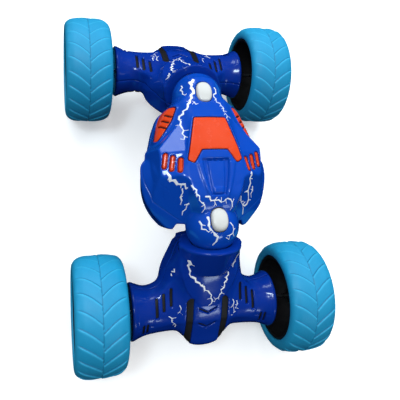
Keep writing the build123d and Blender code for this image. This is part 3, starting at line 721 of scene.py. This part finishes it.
def pod_relief(x, y, z):
    """How far the upper skin is sunk: the centre panel with its rails, tab and dashes, and the borders."""
    ax = np.abs(x)
    outer = curve_of(WELL_OUTER)(y)
    inner = curve_of(WELL_INNER)(y)
    rail_width = curve_of(RAIL_WIDTH)(y)
    well = np.maximum(ax - outer, between(y, *WELL_SPAN))
    panel = np.maximum(ax - inner, between(y, *PANEL_SPAN))
    tab = np.maximum(ax - TAB_HALF, between(y, *TAB_SPAN))
    rail = np.maximum(np.abs(ax - outer - rail_width / 2) - rail_width / 2, between(y, *RAIL_SPAN))
    nearest_dash = np.minimum(ax, np.abs(ax - DASH_PITCH))
    dashes = np.maximum(nearest_dash - DASH_HALF[0], np.abs(y - DASH_Y) - DASH_HALF[1])
    border = polygon_distance(SIDE_WINDOW, ax, y) - WINDOW_ROUND - BORDER_WIDTH
    seam = np.abs(facet(ax, y, z, *FLANK_SEAM)) - SEAM_HALF
    seam = np.maximum(seam, np.maximum(35 - ax, SHOULDER_Z - z))
    relief = 2.3 * step_in(well, 0.9) - 1.3 * step_in(panel, 0.7) - 0.8 * step_in(tab, 0.6)
    relief = relief - 0.9 * step_in(rail, 1.4) + 1.4 * step_in(dashes, 0.4) - 0.7 * step_in(border, 1.0)
    return np.where(z > LOBE_Z, relief + 0.5 * step_in(seam, 0.4), 0)


def pod_openings(x, y):
    """Plan distances of the openings in the upper shell: hood, side windows, vents and lamps."""
    ax = np.abs(x)
    hood = polygon_distance(HOOD, x, y) - HOOD_ROUND
    window = polygon_distance(SIDE_WINDOW, ax, y) - WINDOW_ROUND
    vents = FAR
    for vx, vy in VENTS:
        ends = (vx + VENT_LEAN, vy - VENT_HALF, vx - VENT_LEAN, vy + VENT_HALF)
        vents = np.minimum(vents, slot_distance(ax, y, *ends, VENT_R))
    lamps = {}
    for end in ENDS:
        across = np.abs(x / LAMP_RX) ** LAMP_SQUARE
        along = np.abs((y - LAMP_Y[end]) / LAMP_RY) ** LAMP_SQUARE
        lamps[end] = ((across + along) ** (1 / LAMP_SQUARE) - 1) * LAMP_RX
    return hood, window, vents, lamps


def belly_openings(x, y, z):
    """Distances of the openings underneath: the battery bay, the switch slot and the screw wells."""
    ax = np.abs(x)
    bay = np.maximum(ax - DOOR_BOX[1].x / MM - BAY_GAP, np.abs(y) - DOOR_BOX[1].y / MM - BAY_GAP)
    middle = (SWITCH_BOX[0].y + SWITCH_BOX[1].y) / 2 / MM
    switch = np.maximum(ax - SWITCH_SLOT[0], np.abs(y - middle) - SWITCH_SLOT[1])
    openings = np.maximum(np.minimum(bay, switch), z - POD_BOTTOM - BAY_DEPTH)
    for px, py in POD_SCREWS:
        well = np.hypot(ax - px, y - py) - SCREW_WELL_R
        openings = np.minimum(openings, np.maximum(well, z - SCREW_HEAD_Z - WELL_FLOOR))
    return openings


def window_slits(ax, y):
    """Plan distance to the slits in a side window."""
    slits = FAR
    along, across = SLIT_REACH
    for sx, sy in WINDOW_SLITS:
        ends = (sx - along, sy - across, sx + along, sy + across)
        slits = np.minimum(slits, slot_distance(ax, y, *ends, SLIT_R))
    return slits


def pod_shells(x, y, z, plain, solid, holes):
    """The upper and the lower shell, with bosses round the screw wells."""
    ax = np.abs(x)
    wall = SHELL_WALL + PANEL_BACKING * ((ax < 19) & (y < -8) & (y > -43))
    shell = np.maximum(solid, -(plain + wall))
    for px, py in POD_SCREWS:
        boss = np.hypot(ax - px, y - py) - SCREW_WELL_R - POD_BOSS_WALL
        shell = np.minimum(shell, np.maximum(boss, solid + BOSS_INSET))
    upper = np.maximum(np.maximum(shell, -np.where(z > LOBE_Z, holes, FAR)), POD_SPLIT + SPLIT_HALF - z)
    lower = np.maximum(np.maximum(shell, -belly_openings(x, y, z)), z - POD_SPLIT + SPLIT_HALF)
    return upper, lower


def side_panels(ax, y, plain, window, vents):
    """The pieces that each side has: name, field, material and the CAD part that it replaces."""
    slits = window_slits(ax, y)
    pane = np.maximum(layer(window + PANEL_INSET, plain, PANE_DEPTHS), -slits)
    slit_back = layer(slits - SLIT_OVERLAP, plain, SLIT_DEPTHS)
    bars = layer(vents + VENT_INSET, plain, BAR_DEPTHS)
    backing = layer(vents - BACKING_OVERLAP, plain, BACKING_DEPTHS)
    return [("side_pane", pane, "orange_plastic", "side_window"),
            ("pane_slits", slit_back, "black_plastic", None),
            ("vent_bars", np.minimum(bars, backing), "orange_plastic", "vent_insert")]


def lamp_cover(x, y, z, plain, outline, middle):
    """One lamp's domed cover, on the side of the pod where its middle is."""
    dome = np.sqrt(x * x + (y - middle) ** 2 + (z - LOBE_Z) ** 2) - LOBE_R - LAMP_PROUD
    cover = smooth_max(outline + PANEL_INSET, np.minimum(dome, plain - LAMP_RISE), LAMP_ROUND)
    cover = np.maximum(cover, -(plain + LAMP_BACK))
    return np.where((z > LOBE_Z + LAMP_LOWEST) & (y * middle > 0), cover, FAR)


def build_pod():
    """The pod's shells, panels, lamp covers and prints, all cut from one field."""
    (x, y, z), cells = grid(POD_LOW, POD_HIGH, POD_STEP)
    place = dict(cells=cells, body="pod")
    plain = pod_field(x, y, z)
    solid = plain + pod_relief(x, y, z)
    hood, window, vents, lamps = pod_openings(x, y)
    holes = np.minimum(np.minimum(hood, window) - PANEL_GAP, vents)
    for outline in lamps.values():
        holes = np.minimum(holes, outline - PANEL_GAP / 2)
    upper, lower = pod_shells(x, y, z, plain, solid, holes)
    field_piece("pod_upper_shell", upper, **place, material="blue_plastic", replaced=("upper_shell",))
    field_piece("pod_lower_shell", lower, **place, material="blue_plastic", replaced=("lower_shell",))
    top = z > LOBE_Z
    plate = np.where(top, layer(hood + PANEL_INSET, plain, HOOD_DEPTHS), FAR)
    field_piece("hood_panel", plate, **place, material="orange_plastic", replaced=("hood_window",))
    panels = side_panels(np.abs(x), y, plain, window, vents)
    for side, keep in (("right", -x), ("left", x)):
        for name, field, material, original in panels:
            replaced = (f"{original}_{side}",) if original else ()
            half = np.maximum(np.where(top, field, FAR), keep)
            field_piece(f"{name}_{side}", half, **place, material=material, replaced=replaced)
    for end, outline in lamps.items():
        cover = lamp_cover(x, y, z, plain, outline, LAMP_Y[end])
        replaced = (f"{end}_lamp_lens",)
        field_piece(f"{end}_lamp_cover", cover, **place, material="pearl_lens", replaced=replaced)
    mesh = print_mesh("pod_bolt_prints", POD_BOLTS, holes[:, :, 0], solid, z[0, 0], cells)
    piece_of("pod_bolt_prints", mesh, "print_white", "pod")


# -------- the drive modules, in their own frame
MODULE_STEP = 0.65
MODULE_LOW = (-66, -38, -27)
MODULE_HIGH = (66, 76, 47)
MODULE_PITCH = math.radians(38.0)
MODULE_HALF = 21.0
MODULE_WALL = 5.5
AXLE_BORE_R = 3.2
ARM_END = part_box("front_housing_upper")[1].x / MM
AXLE_Z = WHEEL_R / MM
AXLE_Y = WHEEL_Y / MM
BALL_LOCAL_Y = (AXLE_Y - LOBE_Y) * math.cos(MODULE_PITCH) + (LOBE_Z - AXLE_Z) * math.sin(MODULE_PITCH)
BALL_LOCAL_Z = (LOBE_Z - AXLE_Z) * math.cos(MODULE_PITCH) - (AXLE_Y - LOBE_Y) * math.sin(MODULE_PITCH)
CUP_GAP = 0.5  # between the cup and the pod's lobe
CUP_WALL = 3.0
CUP_RIM_Y = 72.0
CUP_RIM_R = 26.8
COLLAR_FOOT_Y = 44.5
COLLAR_FOOT_R = 23.5
COLLAR_FOOT_Z = 2.5

MODULE_BELT = [(-35, 3), (-33, 9), (-29, 14), (-22, 18), (-14, 20.5), (0, 25), (9, 31.5), (18, 35.5),
               (30, 36.5), (40, 33.5), (50, 29.5), (60, 26), (66, 24)]
MODULE_TOP_EDGE = [(-30, 14.5), (-15, 19.5), (5, 20.5), (15, 20.5), (20, 19), (35, 21), (46, 23)]
TOP_CROWN = 0.0045
CROWN = [(-35, 17.5), (-28, 19.8), (-18, MODULE_HALF), (30, MODULE_HALF), (44, 20.8), (60, 18.0)]
SHIELD = [(15.5, 9.0), (20, 13.0), (27, 18.5), (35, 22.0), (43, 24.0)]
ARM_PROFILE = [(0, 19.8), (44, 20.0), (50, 20.7), (55, 22.0), (59, 23.6), (61.5, 24.6), (64, 24.8)]
STRIP_IN = 12.3
STRIP_OUT = 18.5
STRIP_TOP = 21.0
STRIP_PEAK_X = 14  # where a strip's rounded end reaches furthest
STRIP_END_CURVE = 0.2
STRIP_DEPTH = 1.6
INLAY_GAP = 0.1
INLAY_DEPTHS = (0.55, 2.4)
CHEVRON_SLOPE = 0.55
CHEVRON_HALF = (8.0, 0.8)  # across and along
CHEVRON_Y = (7.0, -7.0)
ARM_SLOTS = [(42.7, 4.5, 17, 1.25), (36.8, 9, 21, 1.25), (30.8, 13, 26, 1.25), (50.6, -11, -1, 1.0),
             (54.0, -11, -1, 1.0)]
SLOT_DEPTH = 3.4
LINING_OVERLAP = 0.5
LINING_DEPTHS = (1.7, SLOT_DEPTH + 0.8)
ARM_PANEL = ((52.0, 7.0), (6.0, 9.0))  # middle and half-size, across and along
OUTLINE_HALF = 0.45
OUTLINE_DEPTH = 0.45
HOUSING_SCREWS = ((30, 33), (14, -17))
HOUSING_HEAD_N = -12  # how far up the screw wells reach from below
HOUSING_BOSS = (-8, 7.2)  # middle and half-height
HOUSING_BOSS_WALL = 1.6
HOUSING_BOSS_INSET = 0.4
SEAM_CHAMFER = 0.35  # how much wider the gap between the halves is at the skin
SEAM_DEPTH = 0.5
UNDER_FULLER = 12.0  # how much wider the underside is, so that it holds the screws
MODULE_BOLTS = [
    (0.80, [(-16, 42), (-8, 34), (0, 26), (3, 19), (0, 14)]),
    (0.70, [(15, 44), (13, 32), (9, 23), (5, 17)]),
    (0.95, [(-20, 58), (-19, 50), (-17, 42)]),
    (0.75, [(22, 61), (19, 48)]),
    (0.45, [(23, 15), (24, 7), (23, 1)]),
    (0.40, [(27, 13), (26, 4)]),
    (0.45, [(-33, 5), (-28, -2), (-25, -9)]),
    (0.40, [(-24, 14), (-22, 4)]),
    (0.45, [(-29, 45), (-33, 34)])]


def module_middle(ax, y, n, top):
    """The domed middle: slanted sides, fuller underneath, and a rounded tail."""
    under = ease(-n / 8)
    side = np.abs(n) - 19.6 + 1.15 * (ax - curve_of(MODULE_TOP_EDGE)(y) - UNDER_FULLER * under)
    belt = (ax - curve_of(MODULE_BELT)(y)) * 0.9
    middle = smooth_max(smooth_max(top, side * 0.656, 1.5), belt, 6.0 - 4.0 * under)
    tail = np.sqrt((y + 8.5) ** 2 + (n * 0.60) ** 2) - 25.0 + 0.011 * ax * ax
    return smooth_max(smooth_max(middle, np.where(y < 0, tail, -FAR), 7.0), y - 62, 4.0)


def module_root(ax, y, n, top):
    """The slanted shoulder between the middle and an arm, kept under the crown."""
    edge = 0.815 * (ax - 45) + 0.58 * (y - 15)
    face = np.abs(n) - 17.5 + 0.30 * (ax - 24) + 0.22 * (y - 14)
    root = smooth_max(smooth_max(edge, face, 4.0), top, 3.0)
    return smooth_max(root, np.abs(y - 30) - 30, 2.0)


def module_shield(ax, y, n, crown):
    """The raised plate on the crown in front of the cup."""
    an = np.abs(n)
    dome = an - crown - 1.5 + 0.006 * ax * ax + 0.0018 * (y - 30) ** 2
    outline = smooth_max((ax - curve_of(SHIELD)(y)) * 0.8, np.abs(y - 40) - 26, 2.0)
    return np.maximum(smooth_max(outline, dome, 0.8), 14 - an)


def module_collar(x, y, n):
    """The flared collar that carries the cup, from its foot in the middle to the rim."""
    along = np.clip((y - COLLAR_FOOT_Y) / (CUP_RIM_Y - COLLAR_FOOT_Y), 0, 1)
    centre = COLLAR_FOOT_Z + along * (BALL_LOCAL_Z - COLLAR_FOOT_Z)
    collar = np.hypot(x, n - centre) - COLLAR_FOOT_R - along * (CUP_RIM_R - COLLAR_FOOT_R)
    ax = np.abs(x)
    collar = smooth_max(collar * 0.86, y - CUP_RIM_Y + 0.004 * ax * ax, 2.4)
    return smooth_max(collar, COLLAR_FOOT_Y - 1 - y, 1.0)


def module_hull(x, y, n):
    """A module's outside: a domed middle, a collar that carries the cup, and two flared arms."""
    ax = np.abs(x)
    crown = curve_of(CROWN)(y)
    top = np.abs(n) - crown + TOP_CROWN * ax * ax
    arm = smooth_max(np.hypot(y, n) - curve_of(ARM_PROFILE)(ax), ax - ARM_END + 0.2, 2.2)
    hull = smooth_min(module_middle(ax, y, n, top), module_root(ax, y, n, top), 4.0)
    hull = smooth_min(hull, arm, 8.0)
    hull = smooth_min(hull, module_shield(ax, y, n, crown), 0.5)
    return smooth_min(hull, module_collar(x, y, n), 1.2 + 5 * ease((ax - 12) / 12))


def module_relief(ax, y, n):
    """How far the skin is sunk along the outlines of the arm panels."""
    (middle_x, half_x), (middle_y, half_y) = ARM_PANEL
    inside = np.maximum(np.abs(ax - middle_x) - half_x, np.abs(y - middle_y) - half_y)
    outline = np.abs(inside) - OUTLINE_HALF
    return OUTLINE_DEPTH * step_in(outline, 0.45) * (np.abs(n) > 8)


def module_strips(ax, y):
    """Plan distance to the two black strips, which end in a curve towards the cup."""
    across = np.abs(ax - (STRIP_IN + STRIP_OUT) / 2) - (STRIP_OUT - STRIP_IN) / 2
    return np.maximum(across, y - STRIP_TOP + (ax - STRIP_PEAK_X) ** 2 * STRIP_END_CURVE)


def module_slots(ax, y):
    """Plan distance to the chevrons between the strips and to the slots in the arms."""
    slots = FAR
    half_x, half_y = CHEVRON_HALF
    for place_y in CHEVRON_Y:
        band = np.abs(y - place_y - CHEVRON_SLOPE * ax) * 0.88 - half_y
        slots = np.minimum(slots, np.maximum(band, ax - half_x))
    for sx, low, high, half in ARM_SLOTS:
        slots = np.minimum(slots, slot_distance(ax, y, sx, low, sx, high, half))
    return slots


def module_cuts(x, y, n, plain, strips, slots):
    """What is cut away: beds for strips and slots, the hollow, the cup for the lobe and the axle bore."""
    ball = np.sqrt(x * x + (y - BALL_LOCAL_Y) ** 2 + (n - BALL_LOCAL_Z) ** 2)
    hollow = np.maximum(plain + MODULE_WALL, LOBE_R + CUP_WALL - ball)
    cuts = np.minimum(np.maximum(strips, -(plain + STRIP_DEPTH)), np.maximum(slots, -(plain + SLOT_DEPTH)))
    cuts = np.minimum(np.minimum(cuts, hollow), ball - LOBE_R - CUP_GAP)
    return np.minimum(cuts, np.hypot(y, n) - AXLE_BORE_R)


def module_halves(ax, y, n, plain, shell):
    """The upper and the lower half of the clamshell, with bosses and wells for its screws."""
    wells = FAR
    for sx, sy in HOUSING_SCREWS:
        wells = np.minimum(wells, np.hypot(ax - sx, y - sy) - SCREW_WELL_R)
    middle, half = HOUSING_BOSS
    boss = smooth_max(wells - HOUSING_BOSS_WALL, np.abs(n - middle) - half, 1.0)
    shell = np.minimum(shell, np.maximum(boss, plain + HOUSING_BOSS_INSET))
    seam = SPLIT_HALF + SEAM_CHAMFER * np.clip(1 + plain / SEAM_DEPTH, 0, 1)
    upper = np.maximum(shell, seam - n)
    lower = np.maximum(np.maximum(shell, n + seam), -np.maximum(wells, n - HOUSING_HEAD_N))
    return upper, lower


def build_modules():
    """Both modules from one set of meshes: the clamshell halves, the black inlay and the prints."""
    (x, y, n), cells = grid(MODULE_LOW, MODULE_HIGH, MODULE_STEP)
    ax = np.abs(x)
    plain = module_hull(x, y, n)
    solid = plain + module_relief(ax, y, n)
    strips = module_strips(ax, y)
    slots = module_slots(ax, y)
    shell = np.maximum(solid, -module_cuts(x, y, n, plain, strips, slots))
    upper, lower = module_halves(ax, y, n, plain, shell)
    inlay = layer(strips + INLAY_GAP, plain, INLAY_DEPTHS)
    inlay = np.minimum(inlay, layer(slots - LINING_OVERLAP, plain, LINING_DEPTHS))
    keep_off = np.minimum(strips, slots)[:, :, 0]
    meshes = [
        ("housing_upper", field_mesh("housing_upper_shell", upper, cells), "module_blue"),
        ("housing_lower", field_mesh("housing_lower_shell", lower, cells), "module_blue"),
        ("slot_inlays", field_mesh("slot_strips", inlay, cells), "black_plastic")]
    prints = print_mesh("module_bolt_prints", MODULE_BOLTS, keep_off, solid, n[0, 0], cells)
    for end, turn in (("front", 0.0), ("rear", math.pi)):
        place = Matrix.Rotation(turn, 4, "Z") @ Matrix.Translation((0, -WHEEL_Y, WHEEL_R))
        place = place @ Matrix.Rotation(MODULE_PITCH, 4, "X")
        for replaced, mesh, slot in meshes:
            piece_of(f"{end}_{mesh.name}", mesh, slot, f"{end}_module", (f"{end}_{replaced}",), place)
        piece_of(f"{end}_bolt_prints", prints, "print_white", f"{end}_module", (), place)


# -------- wheels
RIM_SPOKES = 5
RIM_STEP = 0.7
RIM_LOW = (-22, -40, -40)
RIM_HIGH = (24, 40, 40)
SLEEVE_R = 36.7
SLEEVE_HALF = 1.2
SLEEVE_INSET = 2.2  # from the tyre's side to the sleeve's end
LIP_R = 36.4
LIP_THICK = 1.5
LIP_INSET = 3.2
FACE_X = 15.5  # where the web meets the sleeve
FACE_R = 36
FACE_DISH = 0.0035
WEB_HALF = 1.4
WINDOW_R = 23.5
WINDOW_HALF = 8.5
SPOKE_HALF = 3.1
SPOKE_FLARE = 0.055
SPOKE_SWEEP = 0.010
SWEEP_R = 20
RIB_HALF = 1.3
RIB_RISE = 1.2
RIB_R = 22
RIB_REACH = 13
HUB_R = 8.5
HUB_SPAN = (-2, 19.0)
CAP_R = 10.5
CAP_X = 9
BORE = (2.2, 13)  # radius, and how far out it goes
SOCKET = (2.6, 17.5)  # radius, and how far in it goes


def rim_web(x, y, z, r):
    """The outer face: five swept spokes with windows between them, and a thin rib across each window."""
    face_x = FACE_X - FACE_DISH * (FACE_R - r) ** 2
    web = np.maximum(np.abs(x - face_x) - WEB_HALF, r - FACE_R - 0.5)
    pitch = 2 * math.pi / RIM_SPOKES
    local = np.mod(np.arctan2(y, z) + SPOKE_SWEEP * (r - SWEEP_R) + pitch / 2, pitch) - pitch / 2
    spoke = SPOKE_HALF + SPOKE_FLARE * r - (pitch / 2 - np.abs(local)) * r
    window = np.maximum(np.abs(r - WINDOW_R) - WINDOW_HALF, spoke)
    rib = np.maximum(np.abs(local) * r - RIB_HALF, np.abs(x - face_x - RIB_RISE) - RIB_RISE)
    return smooth_max(web, -window, 1.2), np.maximum(rib, np.abs(r - RIB_R) - RIB_REACH)


def rim_field():
    """A rim about X, outward +X: a deep dish inside, the spoked web and a capped hub outside."""
    (x, y, z), cells = grid(RIM_LOW, RIM_HIGH, RIM_STEP)
    r = np.hypot(y, z)
    half = TYRE_HALF / MM
    sleeve = np.maximum(np.abs(r - SLEEVE_R) - SLEEVE_HALF, np.abs(x) - half + SLEEVE_INSET)
    lip = np.sqrt((r - LIP_R) ** 2 + (np.abs(x) - half + LIP_INSET) ** 2) - LIP_THICK
    web, rib = rim_web(x, y, z, r)
    inner, outer = HUB_SPAN
    hub = smooth_max(np.maximum(r - HUB_R, inner - x), x - outer, 1.5)
    cap = smooth_max(np.sqrt((x - CAP_X) ** 2 + r * r) - CAP_R, 12 - x, 0.8)
    solid = smooth_min(smooth_min(sleeve, lip, 0.6), web, 1.5)
    solid = smooth_min(smooth_min(solid, rib, 0.8), smooth_min(hub, cap, 0.6), 1.5)
    bore = np.maximum(r - BORE[0], x - BORE[1])
    socket = np.maximum(r - SOCKET[0], SOCKET[1] - x)
    return np.maximum(np.maximum(solid, -bore), -socket), cells


def build_rims():
    """One rim mesh for all four wheels, turned half round on the left."""
    mesh = field_mesh("rim", *rim_field())
    for name, place in wheel_places():
        turn = Matrix.Rotation(0 if name.endswith("right") else math.pi, 4, "Z")
        piece_of(f"{name}_spoked_rim", mesh, "rim_black", f"{name}_wheel", (f"{name}_rim",), place @ turn)


# -------- stage
CAMERA_PLACE = (-125.1 * MM, -133.4 * MM, 502.4 * MM)
CAMERA_TURN = (0.3454, -0.2638, -0.1140)
CAMERA_LENS = 45.61
CAMERA_SHIFT = (0.0, -0.10)
FLOOR_HALF = 3.0
FLOOR_DARK = (0.93, 0.93, 0.93)
FLOOR_LIGHT = (0.95, 0.95, 0.95)
FLOOR_GLOW = 0.30  # a little light of its own, so that shadows stay pale
TARGET = Vector((0, 0, 0.10))
SKY_TOWARDS = Vector((0.05, 0.55, 0.83))
SKY_DIM = 0.16
SKY_BRIGHT = 1.75
SKY_EDGE = -0.25  # cosine of the angle from SKY_TOWARDS at which the sky is dimmest
SKY_FALLOFF = 1.6
SOFTBOX_TINT = (0.74, 0.90, 1.0)
SOFTBOXES = [
    # name, direction from the car, distance, size, power, whether the gloss mirrors it
    ("rear_box", (-0.27, 0.69, 0.66), 1.1, (0.36, 0.26), 1.3, True),
    ("overhead_box", (-0.40, -0.05, 0.915), 1.1, (0.22, 0.18), 3.1, True),
    ("rear_right_fill", (0.35, 0.60, 0.72), 0.6, (0.30, 0.30), 1.6, False),
    ("front_box", (0.28, -0.88, 0.38), 1.1, (0.30, 0.14), 0.8, True)]


def build_stage():
    """White paper under the car, which lights nothing and isn't mirrored."""
    mesh = bpy.data.meshes.new("floor")
    half = FLOOR_HALF
    corners = [(-half, -half, 0), (half, -half, 0), (half, half, 0), (-half, half, 0)]
    mesh.from_pydata(corners, [], [(0, 1, 2, 3)])
    floor = add_object("floor", mesh)
    material, tree, shader = new_material("floor_paper")
    fleck = noise(tree, 40.0, 2.0)
    tone = ramp(tree, fleck, [(0.3, FLOOR_DARK), (0.7, FLOOR_LIGHT)])
    tree.links.new(tone, shader.inputs["Base Color"])
    set_inputs(shader, {"Roughness": 0.9, "Emission Color": (1, 1, 1, 1), "Emission Strength": FLOOR_GLOW})
    mesh.materials.append(material)
    floor.visible_glossy = False
    floor.visible_diffuse = False


def build_lights():
    """A sky brightest above and behind the car, which the gloss doesn't mirror, and the softboxes."""
    world = bpy.data.worlds.new("studio")
    world.use_nodes = True
    tree = world.node_tree
    place = tree.nodes.new("ShaderNodeTexCoord")
    towards = tree.nodes.new("ShaderNodeVectorMath")
    towards.operation = "DOT_PRODUCT"
    towards.inputs[1].default_value = SKY_TOWARDS.normalized()
    tree.links.new(place.outputs["Generated"], towards.inputs[0])
    share = ranged(tree, towards.outputs["Value"], SKY_EDGE, 1.0, 0.0, 1.0)
    power = tree.nodes.new("ShaderNodeMath")
    power.operation = "POWER"
    tree.links.new(share, power.inputs[0])
    power.inputs[1].default_value = SKY_FALLOFF
    strength = ranged(tree, power.outputs["Value"], 0.0, 1.0, SKY_DIM, SKY_BRIGHT)
    tree.nodes["Background"].inputs["Color"].default_value = (1, 1, 1, 1)
    tree.links.new(strength, tree.nodes["Background"].inputs["Strength"])
    bpy.context.scene.world = world
    world.cycles_visibility.glossy = False
    for name, direction, distance, size, watts, mirrored in SOFTBOXES:
        light = bpy.data.lights.new(name, "AREA")
        light.shape = "RECTANGLE"
        light.size, light.size_y = size
        light.energy = watts
        light.color = SOFTBOX_TINT
        lamp = add_object(name, light)
        lamp.location = TARGET + Vector(direction).normalized() * distance
        lamp.rotation_euler = (TARGET - lamp.location).to_track_quat("-Z", "Y").to_euler()
        lamp.visible_glossy = mirrored
    bpy.context.scene.view_settings.view_transform = "Standard"


def build_camera():
    """The main view, from above, in front and to the left."""
    camera = bpy.data.cameras.new("camera")
    camera.sensor_width = 36.0
    camera.lens = CAMERA_LENS
    camera.shift_x, camera.shift_y = CAMERA_SHIFT
    camera.clip_start = 0.01
    holder = add_object("camera", camera)
    holder.location = CAMERA_PLACE
    holder.rotation_euler = CAMERA_TURN
    bpy.context.scene.camera = holder


finish_cad_nodes()
build_tyres()
build_pod()
build_modules()
build_rims()
build_stage()
build_lights()
build_camera()
